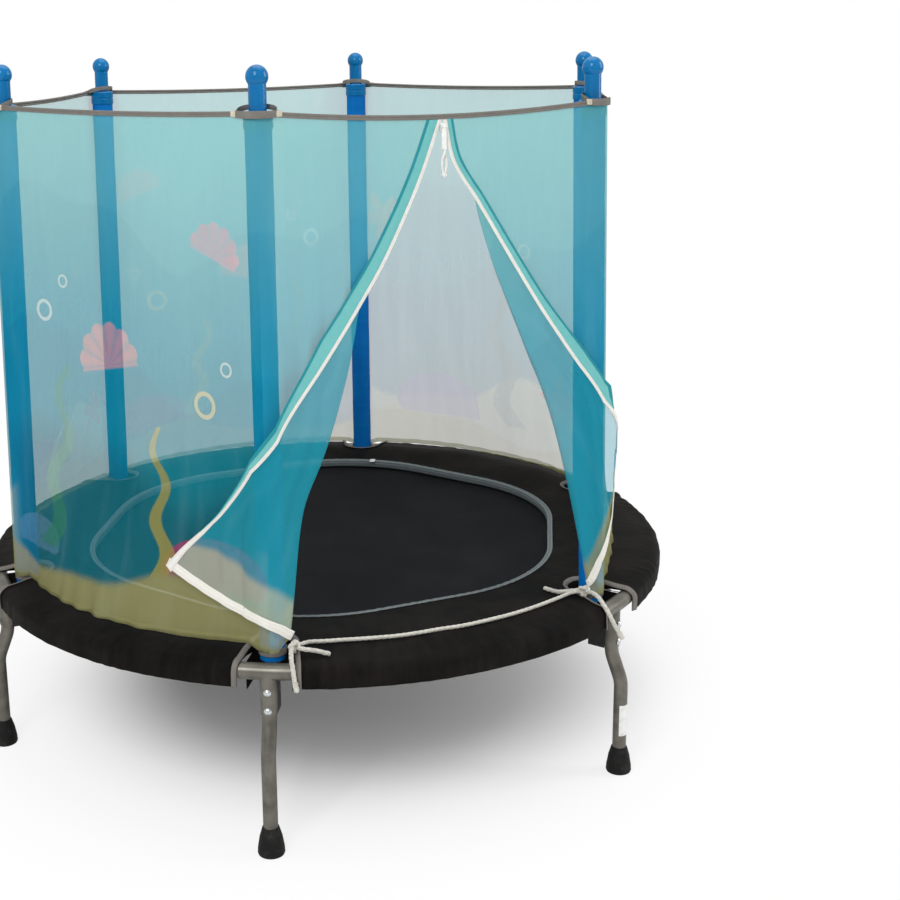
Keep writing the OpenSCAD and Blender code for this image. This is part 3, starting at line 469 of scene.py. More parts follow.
class Nodes(Graph):
    """One procedural material."""

    def __init__(self, name: str) -> None:
        """Start a material of that name with a Principled shader."""
        self.material = bpy.data.materials.new(name)
        self.material.use_nodes = True
        super().__init__(self.material.node_tree)
        self.shader = self.new("BsdfPrincipled")
        self.output = self.new("OutputMaterial", Surface=self.shader.outputs["BSDF"])

    def set(self, **inputs: object) -> None:
        """Set or link the shader's inputs; underscores in the names stand for blanks."""
        for key, value in inputs.items():
            self.put(self.shader.inputs[key.replace("_", " ")], value)

    def place(self) -> Socket:
        """The piece's own coordinates in metres."""
        return self.new("TexCoord").outputs["Object"]

    def lay(self) -> tuple[Socket, Socket]:
        """Both coordinates of the piece's texture map."""
        return self.parts(self.new("TexCoord").outputs["UV"])[:2]

    def parts(self, vector: Socket) -> tuple[Socket, Socket, Socket]:
        """The three parts of a vector."""
        return tuple(self.new("SeparateXYZ", vector).outputs)

    def join(self, x: object, y: object, z: object = 0.0) -> Socket:
        """A vector from three numbers or sockets."""
        return self.new("CombineXYZ", x, y, z).outputs[0]

    def scaled(self, vector: Socket, scale: tuple[float, float, float], turn: float = 0.0) -> Socket:
        """A vector turned about z, in radians, and then scaled."""
        return self.new("Mapping", Rotation=(0, 0, turn), Scale=scale, Vector=vector).outputs[0]

    def noise(self, vector: Socket, scale: float, detail: float = 2.0, roughness: float = 0.5) -> Socket:
        """Smooth noise of about 0 to 1."""
        return self.new("TexNoise", Vector=vector, Scale=scale, Detail=detail, Roughness=roughness).outputs[0]

    def drawn(self, u: Socket, v: Socket, u_scale: float, v_scale: float, *kind: float) -> Socket:
        """Noise on a texture map, at its own scale along each direction."""
        return self.noise(self.join(self.mul(u, u_scale), self.mul(v, v_scale)), 1.0, *kind)

    def wave(self, x: object, per_metre: float) -> Socket:
        """A wave of 0 to 1 along x."""
        return self.mad(self.sine(x, per_metre * 2 * math.pi), 0.5, 0.5)

    def step(self, x: object, low: float, high: float) -> Socket:
        """A smooth rise from 0 at low to 1 at high, or a fall where low is above high."""
        low_out, high_out = (0.0, 1.0) if low <= high else (1.0, 0.0)
        made = self.new("MapRange", Value=x, From_Min=min(low, high), From_Max=max(low, high), To_Min=low_out,
                        To_Max=high_out)
        made.interpolation_type = "SMOOTHSTEP"
        return made.outputs[0]

    def mix(self, factor: object, a: object, b: object) -> Socket:
        """Colour a at factor 0, colour b at factor 1."""
        made = self.new("Mix", factor)
        made.data_type = "RGBA"
        self.put(made.inputs[6], a)
        self.put(made.inputs[7], b)
        return made.outputs[2]

    def bump(self, height: Socket, depth: float, **before: Socket) -> Socket:
        """Normals of a relief that is depth metres deep, over those given as Normal."""
        return self.new("Bump", Strength=1.0, Distance=depth, Height=height, **before).outputs[0]

    def weave(self, u: Socket, v: Socket, per_metre: float) -> tuple[Socket, Socket]:
        """Relief of a plain weave, and a value of 0 or 1 that tells warp from weft.

        The threads are waves along u and v, and a product of half-speed waves says which is on top.
        """
        warp, weft = self.wave(u, per_metre), self.wave(v, per_metre)
        across, down = self.sine(u, per_metre * math.pi), self.sine(v, per_metre * math.pi)
        on_top = self.math("GREATER_THAN", self.mul(across, down), 0.0)
        return self.mix(on_top, warp, weft), on_top


class Finish:
    """A finish that can be put on pieces; each kind writes its own nodes."""

    name: str

    def write(self, n: Nodes) -> None:
        """Write the finish's nodes."""
        raise NotImplementedError

    def material(self) -> bpy.types.Material:
        """The finish's material, made once and then shared."""
        found = bpy.data.materials.get(self.name)
        if found is None:
            n = Nodes(self.name)
            self.write(n)
            found = n.material
        return found

    def on(self, piece: Piece) -> None:
        """Put the finish on a piece."""
        piece.data.materials.clear()
        piece.data.materials.append(self.material())


@dataclass(frozen=True)
class Grained(Finish):
    """Painted, plated or moulded skin: a noise varies its tone and gloss, a finer one is its grain.

    Attributes:
        name: Name of the material.
        colour: Colour where the noise is low.
        other: Colour where the noise is high.
        patches: Scale, detail and roughness of the noise.
        rise: Values of the noise between which the colour changes.
        gloss: The roughness is the first of these times the noise, plus the second.
        grain: Scale and detail of the grain, or nothing where the noise is the relief as well.
        depth: Depth of the relief in metres.
        metallic: Share of the metallic shader.
        specular: Level of the sheen.
        stretch: How often the noise repeats along each axis, where it is drawn out.
    """

    name: str
    colour: Colour
    other: Colour
    patches: tuple[float, ...]
    rise: tuple[float, float]
    gloss: tuple[float, float]
    grain: tuple[float, ...]
    depth: float
    metallic: float = 0.0
    specular: float = 0.5
    stretch: tuple[float, ...] = ()

    def write(self, n: Nodes) -> None:
        """Write the skin: tone and roughness from the noise, relief from the grain."""
        here = n.place()
        spots = n.noise(n.scaled(here, self.stretch) if self.stretch else here, *self.patches)
        relief = n.noise(here, *self.grain) if self.grain else spots
        n.set(Base_Color=n.mix(n.step(spots, *self.rise), self.colour, self.other), Metallic=self.metallic,
              Roughness=n.mad(spots, *self.gloss), Specular_IOR_Level=self.specular,
              Normal=n.bump(relief, self.depth))


def paint(name: str, colour: Colour, shade: Colour) -> Grained:
    """Satin metallic paint or bare steel on tube: fine mottling and a shallow orange peel."""
    return Grained(name, colour, shade, (35.0, 3.0), (0.3, 0.75), (0.22, 0.23), (900.0, 2.0), 0.00012, metallic=0.55)


def plastic(name: str, colour: Colour, roughness: float) -> Grained:
    """Plain moulded plastic with a fine spark-eroded grain."""
    worn = tuple(min(1.0, c * 1.35 + 0.004) for c in colour)
    return Grained(name, colour, worn, (80.0, 3.0), (0.4, 0.8), (0.2, roughness - 0.1), (1400.0, 2.0), 0.00008,
                   specular=0.2)


def label(name: str, colour: Colour) -> Grained:
    """White sticker film or satin label without any printing: faint creases."""
    return Grained(name, colour, srgb(214, 214, 210), (120.0, 4.0, 0.6), (0.4, 0.8), (0.15, 0.35), (), 0.0002)


SATIN_STEEL = paint("satin_steel", srgb(112, 109, 100), srgb(84, 82, 75))
POST_STEEL = paint("bare_post_steel", srgb(150, 150, 148), srgb(120, 120, 118))
MOULDED_RUBBER = Grained("moulded_rubber", srgb(27, 26, 26), srgb(50, 49, 47), (60.0, 4.0, 0.6), (0.45, 0.8),
                         (0.3, 0.42), (1500.0, 2.0), 0.0001, specular=0.12)
GLOSS_PLASTIC = Grained("gloss_plastic", srgb(0, 112, 172), srgb(0, 100, 156), (1.0, 3.0), (0.3, 0.75),
                        (0.14, 0.08), (240.0, 2.0), 0.00008, specular=0.25, stretch=(60.0, 60.0, 9.0))
ZINC = Grained("zinc_wire", srgb(205, 207, 210), srgb(150, 153, 156), (220.0, 4.0, 0.6), (0.45, 0.75),
               (0.25, 0.14), (1200.0, 2.0), 0.00005, metallic=1.0)
BLACK_PLASTIC = plastic("black_plastic", srgb(34, 34, 35), 0.45)
SLIDER_PLASTIC = plastic("slider_white", srgb(226, 228, 226), 0.35)
TAB_PLASTIC = plastic("tab_white", srgb(232, 232, 228), 0.35)
SATIN_LABEL = label("satin_tag", srgb(228, 226, 218))
BARE_LABEL = label("bare_label", srgb(236, 236, 234))


@dataclass(frozen=True)
class FoamSkin(Finish):
    """Blue closed-cell foam tube: a matt skin of fine pores and long drawn marks."""

    name: str = "foam_skin"
    colour: Colour = srgb(0, 104, 182)
    worn: Colour = srgb(8, 118, 196)

    def write(self, n: Nodes) -> None:
        """Write the foam: pores are small cells, drawn marks a noise stretched along the tube."""
        u, v = n.lay()
        along = n.drawn(u, v, 3.0, 60.0, 4.0)
        pores = n.new("TexVoronoi", Vector=n.place(), Scale=900.0).outputs["Distance"]
        broad = n.noise(n.place(), 14.0, 3.0)
        tone = n.mad(broad, 0.6, n.mul(along, 0.4))
        relief = n.mad(pores, 0.6, n.mul(along, 0.8))
        n.set(Base_Color=n.mix(n.step(tone, 0.3, 0.7), self.colour, self.worn),
              Roughness=n.mad(pores, 0.2, 0.5), Specular_IOR_Level=0.1,
              Normal=n.bump(relief, 0.0002))


@dataclass(frozen=True)
class WovenMat(Finish):
    """Black woven jumping cloth: flat polypropylene threads in a plain weave."""

    name: str = "woven_mat"
    colour: Colour = srgb(16, 16, 17)
    # Lighter colour of the threads' raised crowns, a painted highlight against shaded hollows, and of the scuffs.
    thread: Colour = srgb(36, 36, 37)
    threads: float = 560.0

    def write(self, n: Nodes) -> None:
        """Write the weave on the mat's own plane: the lighter thread colour lies on the threads' raised crowns,
        leaving painted shade between them, and on broad scuffs where feet land.
        """
        x, y, _ = n.parts(n.place())
        relief, on_top = n.weave(x, y, self.threads)
        scuffs = n.noise(n.place(), 7.0, 5.0, 0.6)
        # Tone: half the weave's relief, painted shade between threads, half the scuffs' real wear.
        tone = n.mad(relief, 0.5, n.mul(n.step(scuffs, 0.35, 0.8), 0.5))
        n.set(Base_Color=n.mix(tone, self.colour, self.thread),
              Roughness=n.mad(on_top, 0.12, 0.6), Specular_IOR_Level=0.06,
              Normal=n.bump(relief, 0.00022))


@dataclass(frozen=True)
class CoatedCover(Finish):
    """Black coated cover cloth of the pad: a soft sheen, fine weave and creases."""

    name: str = "coated_cover"
    colour: Colour = srgb(11, 10, 10)
    # Lighter colour: painted highlight on the crease ridges, and the tone of broad random patches.
    ridge_highlight_and_patches: Colour = srgb(33, 30, 27)
    threads: float = 900.0

    def write(self, n: Nodes) -> None:
        """Write the cover: a weave along its texture map, creases from stretched noise; the lighter colour is a
        painted highlight on the crease ridges, and also marks broad random patches.
        """
        u, v = n.lay()
        relief, _ = n.weave(u, v, self.threads)
        creases = n.drawn(u, v, 55.0, 12.0, 5.0, 0.6)
        broad = n.noise(n.place(), 11.0, 4.0)
        # Tone: half the crease relief, which paints highlight on ridges and shade in hollows, half broad random
        # patches.
        tone = n.mad(creases, 0.5, n.mul(broad, 0.5))
        fine = n.bump(relief, 0.00012)
        n.set(Base_Color=n.mix(n.step(tone, 0.3, 0.75), self.colour, self.ridge_highlight_and_patches),
              Roughness=n.mad(creases, 0.2, 0.55), Specular_IOR_Level=0.05,
              Normal=n.bump(creases, 0.0016, Normal=fine))


class TapeKind(Enum):
    """Kinds of narrow woven goods: colour, darker colour, threads in each metre."""

    GREY_BINDING = ("binding_tape_grey", srgb(124, 130, 130), srgb(92, 98, 100), 1300.0)
    GREY_ELASTIC = ("elastic_tape_grey", srgb(140, 136, 130), srgb(100, 96, 92), 1100.0)
    BLACK_WEBBING = ("black_webbing", srgb(30, 30, 31), srgb(18, 18, 18), 700.0)
    ZIP_WHITE = ("zip_tape_white", srgb(246, 244, 238), srgb(224, 222, 214), 1500.0)
    BAND_WHITE = ("band_white", srgb(246, 243, 234), srgb(226, 222, 210), 1200.0)
    CREAM_THREAD = ("cream_thread", srgb(226, 218, 198), srgb(188, 178, 156), 1600.0)
    TEAL_TAPE = ("teal_tape", srgb(128, 200, 197), srgb(104, 186, 186), 1300.0)
    TEAL_HEM = ("teal_hem", srgb(52, 160, 168), srgb(34, 136, 148), 1300.0)


@dataclass(frozen=True)
class WovenTape(Finish):
    """Narrow woven tape, elastic or sewn thread with a ribbed weave and stitching."""

    kind: TapeKind = TapeKind.GREY_BINDING
    stitched: bool = False

    @property
    def name(self) -> str:
        """Name of the tape's material."""
        return self.kind.value[0] + ("_stitched" if self.stitched else "")

    def write(self, n: Nodes) -> None:
        """Write the tape: ribs across, a weave, and a line of stitches if it is sewn down.

        A stitch shows where the wave along the tape is high and the distance from the
        tape's middle is under half a millimetre.
        """
        _, light, dark, threads = self.kind.value
        u, v = n.lay()
        relief, on_top = n.weave(u, v, threads)
        soil = n.noise(n.place(), 70.0, 4.0, 0.6)
        shade = n.mad(n.sub(1.0, relief), 0.55, n.mul(soil, 0.45))
        colour, height = n.mix(n.step(shade, 0.2, 0.8), light, dark), relief
        if self.stitched:
            line = n.math("ABSOLUTE", n.sub(n.math("FRACT", n.mul(v, 160.0)), 0.5))
            stitch = n.mul(n.step(line, 0.16, 0.06), n.step(n.wave(u, 330.0), 0.3, 0.5))
            colour = n.mix(stitch, colour, tuple(min(1.0, c * 1.5 + 0.03) for c in light))
            height = n.mad(stitch, 1.5, relief)
        n.set(Base_Color=colour, Roughness=n.mad(on_top, 0.1, 0.72), Specular_IOR_Level=0.15,
              Normal=n.bump(height, 0.00015))


@dataclass(frozen=True)
class LaidRope(Finish):
    """Cream twisted rope: fine fibres that run with the lay of the strands."""

    name: str = "laid_rope"
    colour: Colour = srgb(240, 237, 226)
    groove: Colour = srgb(176, 170, 154)

    def write(self, n: Nodes) -> None:
        """Write the rope: fibres are thin waves that lean across the texture map."""
        u, v = n.lay()
        lean = n.mad(v, 1.0, n.mul(u, 0.9))
        fibres = n.wave(lean, 1700.0)
        soil = n.noise(n.place(), 160.0, 4.0, 0.65)
        shade = n.mad(soil, 0.75, n.mul(fibres, 0.25))
        n.set(Base_Color=n.mix(n.step(shade, 0.35, 0.85), self.colour, self.groove), Roughness=0.85,
              Sheen_Weight=0.3, Sheen_Roughness=0.4, Normal=n.bump(fibres, 0.00025))


class Motif(Enum):
    """Plain shapes that the net's print repeats, each with its outline rule."""

    STAR = "star"
    PEBBLE = "pebble"
    SHELL = "shell"
    FROND = "frond"
    BUBBLE = "bubble"


@dataclass(frozen=True)
class Print:
    """One printed shape: where it stands on the net, how large it is, and its colour.

    Attributes:
        motif: Which outline it has.
        u: Distance round the net from the doorway's middle, within one repeat, in metres.
        v: Height above the floor in metres.
        size: Radius or half-height in metres.
        colour: Printed colour.
        lean: Turn in radians.
    """

    motif: Motif
    u: float
    v: float
    size: float
    colour: Colour
    lean: float = 0.0


@dataclass(frozen=True)
class NetPrint(Finish):
    """Fine see-through net printed with sea colours, sand and plain shore shapes.

    Attributes:
        opacity: Share of light that the cloth's threads stop.
        shore: Height in metres at which sand begins.
        verge: Height in metres at which grass begins.
        repeat: Length of the print round the net; two sides of the net make one repeat.
    """

    name: str = "printed_net"
    opacity: float = 0.50
    shore: float = 0.51
    verge: float = 0.415
    repeat: float = 1.26
    high: Colour = srgb(104, 190, 192)
    low: Colour = srgb(4, 160, 178)
    deep: Colour = srgb(0, 128, 150)
    weed: Colour = srgb(0, 112, 128)
    sand: Colour = srgb(196, 206, 176)
    grass: Colour = srgb(172, 170, 114)
    prints: tuple[Print, ...] = (
        Print(Motif.STAR, 0.25, 0.905, 0.062, srgb(232, 150, 104), 0.5),
        Print(Motif.STAR, 1.03, 0.520, 0.055, srgb(226, 96, 84), 0.1),
        Print(Motif.SHELL, 0.60, 0.780, 0.075, srgb(238, 160, 150), -0.2),
        Print(Motif.SHELL, 0.85, 0.985, 0.055, srgb(214, 150, 160), 0.35),
        Print(Motif.PEBBLE, 0.10, 0.470, 0.120, srgb(120, 116, 190)),
        Print(Motif.PEBBLE, 0.41, 0.440, 0.070, srgb(92, 150, 178)),
        Print(Motif.PEBBLE, 0.84, 0.455, 0.105, srgb(206, 44, 122)),
        Print(Motif.FROND, 0.47, 0.600, 0.170, srgb(52, 150, 120), 0.10),
        Print(Motif.FROND, 0.72, 0.560, 0.130, srgb(190, 178, 70), -0.12),
        Print(Motif.FROND, 1.18, 0.620, 0.190, srgb(40, 130, 132), 0.06),
        Print(Motif.BUBBLE, 0.44, 0.860, 0.020, srgb(226, 238, 226)),
        Print(Motif.BUBBLE, 0.49, 0.915, 0.012, srgb(226, 238, 226)),
        Print(Motif.BUBBLE, 0.82, 0.740, 0.024, srgb(238, 220, 150)),
        Print(Motif.BUBBLE, 0.87, 0.805, 0.013, srgb(226, 238, 226)),
        Print(Motif.BUBBLE, 1.12, 0.850, 0.017, srgb(230, 236, 180)),
    )

    def mask(self, n: Nodes, shape: Print, u: Socket, v: Socket) -> Socket:
        """Where a printed shape lies, from 0 to 1.

        With r the distance from the shape's middle and a the angle round it, a star is r under
        0.62 + 0.38 of the fifth cosine of a; a shell is a half disc with ribs; a pebble is a
        flattened mound that stands on its foot; a frond is a thin upright wave; a bubble is a ring.

        Args:
            n: The material's nodes.
            shape: The printed shape.
            u: Distance round the net within one repeat.
            v: Height.

        Returns:
            A socket with the mask.
        """
        x = n.sub(u, shape.u)
        y = n.sub(v, shape.v)
        x, y, _ = n.parts(n.scaled(n.join(x, y), (1 / shape.size,) * 3, shape.lean))
        r = n.length(x, y)
        angle = n.math("ARCTAN2", x, y)
        if shape.motif is Motif.STAR:
            edge = n.mad(n.math("COSINE", n.mul(angle, 5.0)), 0.3, 0.68)
            return n.step(n.sub(r, edge), 0.03, -0.03)
        if shape.motif is Motif.SHELL:
            scallops = n.math("ABSOLUTE", n.sine(angle, 6.0))
            edge = n.mad(scallops, 0.1, 0.9)
            fan = n.mul(n.step(n.sub(r, edge), 0.03, -0.03), n.step(y, -0.12, -0.04))
            return n.mul(fan, n.mad(scallops, 0.35, 0.65))
        if shape.motif is Motif.PEBBLE:
            mound = n.length(x, n.mul(y, 1.7))
            return n.mul(n.step(mound, 1.02, 0.98), n.step(y, -0.3, -0.26))
        if shape.motif is Motif.FROND:
            sway = n.mul(n.sine(y, 7.0), 0.1)
            thin = n.mad(y, -0.05, 0.09)
            leaf = n.math("ABSOLUTE", n.sub(x, sway))
            return n.mul(n.step(n.sub(leaf, thin), 0.02, -0.02),
                          n.mul(n.step(y, -1.0, -0.97), n.step(y, 1.0, 0.97)))
        return n.step(n.math("ABSOLUTE", n.sub(r, 0.82)), 0.2, 0.12)

    def write(self, n: Nodes) -> None:
        """Write the print.

        The sea darkens downwards, and again under two slow wavy lines. Every other side has sand
        above its grass, the rest have dark weed. The shapes lie on top; fine threads give relief.
        """
        u, v = n.lay()
        turn = 2 * math.pi / self.repeat
        swell = n.mul(n.sine(u, 2 * turn), 0.035)
        swell = n.mad(n.math("SINE", n.mad(u, 5 * turn, 1.3)), 0.012, swell)
        sea = n.mix(n.step(n.add(v, swell), 1.18, 0.74), self.high, self.low)
        for level, share in ((1.03, 0.16), (0.80, 0.30)):
            band = n.mad(swell, 1.6, v)
            sea = n.mix(n.mul(n.step(band, level, level - 0.012), share), sea, self.deep)
        even = n.math("COSINE", n.mul(u, turn))
        shore = n.mad(swell, 1.1, v)
        weeds = n.mul(n.step(even, 0.1, -0.3), n.step(shore, 0.66, 0.56))
        sea = n.mix(n.mul(weeds, 0.8), sea, self.weed)
        beach = n.mul(n.step(shore, self.shore + 0.01, self.shore - 0.01), n.step(even, -0.2, 0.1))
        colour = n.mix(n.mul(beach, 0.85), sea, self.sand)
        within = n.math("WRAP", u, self.repeat, 0.0)
        for shape in self.prints:
            colour = n.mix(n.mul(self.mask(n, shape, within, v), 0.72), colour, shape.colour)
        verge = n.mad(swell, -0.7, v)
        colour = n.mix(n.step(verge, self.verge + 0.01, self.verge - 0.01), colour, self.grass)
        streaks = n.drawn(u, v, 30.0, 4.0, 3.0)
        colour = n.mix(n.mul(n.step(streaks, 0.45, 0.85), 0.08), colour, srgb(190, 220, 220))
        relief, _ = n.weave(u, v, 1400.0)
        n.set(Base_Color=colour, Alpha=n.mad(streaks, 0.1, self.opacity), Roughness=0.75,
              Specular_IOR_Level=0.1, Normal=n.bump(relief, 0.00012))


FLAP_PRINT = NetPrint("printed_net_flap", low=srgb(46, 172, 192), deep=srgb(14, 148, 170), shore=0.405,
                      verge=0.362, prints=())


# ---------------------------------------------------------------- sub-assemblies


def fitted(piece: Piece, finish: Finish, slot: str, *nodes: str, body: str = "frame") -> Piece:
    """Finish a piece, set it on its body and report it.

    Args:
        piece: The new piece.
        finish: Its finish.
        slot: The material slot it belongs to; not used.
        nodes: CAD nodes that it stands for.
        body: The body it rides on, or an empty name for a piece that is left without one.

    Returns:
        The same piece.
    """
    finish.on(piece)
    if body:
        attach(piece, body)
    if nodes:
        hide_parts(*nodes)
    log.info("%s: %d faces in %s", piece.name, len(piece.data.polygons), finish.name)
    return piece


def millimetres(*points: Sequence[float]) -> Array:
    """Points given in millimetres, as an array in metres."""
    return np.array(points, float) / 1000


@dataclass(frozen=True)
class RopeRun:
    """One free rope of the doorway: its route in metres and how it ends.

    Attributes:
        name: Name of the piece.
        route: Points that it passes through.
        towards: Direction that is nowhere along the rope, from which its section is turned.
        far_end: What is on its far end.
        lay: How it lies; not used.
        whipped: Length of the thicker melted tip at its far end, in metres.
    """

    name: str
    route: Array
    towards: tuple[float, float, float] = (0.0, 0.0, 1.0)
    far_end: str = "bare"
    lay: str = "loose"
    whipped: float = 0.0


SILL_RUN = RopeRun("doorway_rope", millimetres(
    (-276, -563, 352), (-268, -558, 351), (-260, -554, 350), (-246, -551, 349), (-222, -557, 348), (-199, -563, 348),
    (-165, -573, 348), (-130, -582, 348), (-101, -588, 348), (-64, -591, 348), (-28, -592, 348), (14, -595, 348),
    (60, -592, 348), (104, -587, 348), (148, -578, 348), (190, -566, 348), (225, -554, 348), (246, -548, 349),
    (258, -550, 351), (268, -554, 352)), far_end="knot")
TAIL_RUNS = (
    RopeRun("rope_tail_a_short", millimetres(
        (-277, -571, 352), (-268, -577, 350), (-257, -581, 348), (-246, -586, 346), (-238, -591, 344),
        (-230, -598, 343))),
    RopeRun("rope_tail_a_long", millimetres(
        (-286, -571, 353), (-292, -582, 354), (-297, -595, 352), (-300, -605, 345), (-300, -611, 332),
        (-299, -613, 316), (-296, -613, 300), (-295, -613, 295)), (1, 0, 0), "bare", "hanging", 0.016),
    RopeRun("rope_tail_b_short", millimetres(
        (268, -553, 354), (256, -545, 352), (244, -538, 350), (234, -532, 349), (227, -520, 349),
        (221, -506, 349))),
    RopeRun("rope_tail_b_long", millimetres(
        (276, -562, 354), (279, -578, 355), (280, -594, 353), (280, -608, 347), (283, -620, 336),
        (287, -629, 322), (297, -626, 306), (308, -621, 291), (318, -616, 277)), (1, 0, 0), "bare", "hanging", 0.018))


@dataclass
class DoorwayRope:
    """Twisted rope across the doorway's sill, its knots and its tails."""

    diameter: float = 0.007
    tail_diameter: float = 0.0080
    strands: int = 3
    twist_pitch: float = 0.030
    groove: float = 0.2
    step: float = 0.0014
    knots: Array = field(default_factory=lambda: millimetres((-281, -566, 353), (274, -556, 353)))
    tip: float = 0.002
    tip_swell: float = 0.22
    tip_taper: float = 0.35

    def section(self, run: Array, width: Array) -> Array:
        """Sections (n, 24, 2) of the rope at distances (n,) along it, for its width (n,) at each.

        The radius dips by the groove's share between strands, as 1 less the groove times 1 less
        the absolute cosine of half the strands times the angle, and the angle turns with the lay.
        """
        angle = round_steps(24)
        phase = self.strands / 2 * (angle[None] - 2 * np.pi * run[:, None] / self.twist_pitch)
        r = width[:, None] / 2 * (1 - self.groove * (1 - np.abs(np.cos(phase))))
        return polar(r, angle)

    def rope(self, run: RopeRun, width: float, node: str) -> tuple[Piece, Array]:
        """Make one rope along its route.

        Args:
            run: The rope's route and end.
            width: Its diameter.
            node: CAD node that it stands for.

        Returns:
            The rope, and its path.
        """
        path = resample(run.route, self.step)
        _, across, up = frames(path, np.array(run.towards, float))
        along = run_along(path)
        end, tip = along[-1], along[-1] - run.whipped
        thick = width * (1 + self.tip_swell * smoothstep(tip - self.tip, tip, along) * (run.whipped > 0))
        thick *= 1 - self.tip_taper * smoothstep(end - self.tip, end, along) * (run.far_end == "bare")
        piece = Shell().tube(path, across, up, self.section(along, thick)).piece(run.name)
        return fitted(piece, LaidRope(), "rope", node), path

    def knot(self, name: str, centre: Array, width: float, size: float, lean: float) -> Piece:
        """A rope knot: a tube along a trefoil.

        The trefoil is (sin t + 2 sin 2t, cos t - 2 cos 2t, -sin 3t), scaled by size.

        Args:
            name: Name of the piece.
            centre: Its middle.
            width: Diameter of the rope in it.
            size: Scale of the trefoil.
            lean: Turn about the vertical axis, in radians.

        Returns:
            The knot.
        """
        t = round_steps(150)
        curl = columns(np.sin(t) + 2 * np.sin(2 * t), -np.sin(3 * t) * 1.2, np.cos(t) - 2 * np.cos(2 * t))
        path = turned(curl * size, lean) + centre
        _, across, up = frames(path, unit(path - centre), closed=True)
        along = np.linspace(0, path_length(np.vstack([path, path[:1]])), len(path), endpoint=False)
        turns = round(along[-1] / self.twist_pitch) or 1
        shape = self.section(along * turns * self.twist_pitch / (along[-1] + along[1]), np.full(len(path), width))
        return Shell().tube(path, across, up, shape, closed=True).piece(name)

    def make(self) -> None:
        """Make the sill's rope, both knots and the four tails."""
        knots = [fitted(self.knot(f"rope_knot_{'ab'[k]}", c, self.diameter, 0.0029, 0.5 + 2 * k), LaidRope(), "rope",
                        "rope_knots") for k, c in enumerate(self.knots)]
        sill, path = self.rope(SILL_RUN, self.diameter, "sill_rope")
        for run in TAIL_RUNS:
            piece, path = self.rope(run, self.tail_diameter, "rope_tails")


@dataclass
class ZipPull:
    """Cord loop through the eye of the zip's pull tab, with its knot."""

    eye: Array = field(default_factory=lambda: np.array([0.004, -0.543087, 1.1451]))
    cord_d: float = 0.0038
    bow: float = 0.0025
    spread: float = 0.0042
    drop: float = 0.0395

    def strand(self, side: float, q: Array) -> Array:
        """The front strand (side 1) or the back one (-1), at depths q below the loop's upper bend.

        Its distance from the middle widens from the bow to the spread and narrows again above
        the knot, while its direction turns from front and back to left and right.
        """
        wide = self.bow + (self.spread - self.bow) * smoothstep(0.002, 0.016, q)
        wide = wide - (wide - self.cord_d * 0.56) * smoothstep(self.drop - 0.014, self.drop, q)
        turn = math.radians(82) * smoothstep(0.001, 0.02, q)
        return columns(-side * wide * np.sin(turn), -side * wide * np.cos(turn), -q)

    def make(self) -> None:
        q = np.linspace(0, self.drop, 60)
        bend = np.linspace(-np.pi / 2, np.pi / 2, 14)[1:-1]
        over = columns(0 * bend, self.bow * np.sin(bend), self.bow * np.cos(bend))
        path = np.vstack([self.strand(1, q[::-1]), over, self.strand(-1, q)]) + self.eye - [0, 0, self.bow]
        path = resample(path, 0.0008)
        _, across, up = frames(path, np.array([1.0, 0.001, 0.0]))
        rope = DoorwayRope(twist_pitch=0.009, groove=0.12)
        along = run_along(path)
        shape = rope.section(along, np.full(len(path), self.cord_d))
        loop = Shell().tube(path, across, up, shape).piece("zip_pull_cord")
        knot = rope.knot("zip_pull_knot", self.eye - [0, 0, self.bow + self.drop + 0.002], self.cord_d, 0.00092, 0.4)
        fitted(loop, WovenTape(TapeKind.ZIP_WHITE), "rope", "pull_cord", body="pull")
        fitted(knot, WovenTape(TapeKind.ZIP_WHITE), "rope", "pull_cord", body="pull")


@dataclass
class SteelFrame:
    """Painted tubes, feet, screws, spacers and caps that keep their CAD shapes."""

    finishes: tuple[tuple[str, Finish], ...] = (
        ("frame_section_", SATIN_STEEL), ("leg_bolts", ZINC), ("leg_", SATIN_STEEL), ("post_tube_", POST_STEEL),
        ("rubber_feet", MOULDED_RUBBER), ("post_cap_", GLOSS_PLASTIC), ("spacer_blocks", BLACK_PLASTIC),
        ("lock_nuts", ZINC), ("zip_slider", SLIDER_PLASTIC), ("pull_tab", TAB_PLASTIC),
    )

    def make(self, nodes: dict[str, Piece]) -> None:
        """Dress each CAD node whose name starts as a finish's entry does."""
        for name, node in nodes.items():
            finish = next((f for start, f in self.finishes if name.startswith(start)), None)
            if finish is not None:
                finish.on(node)
                log.info("%s: dressed in %s", name, finish.name)


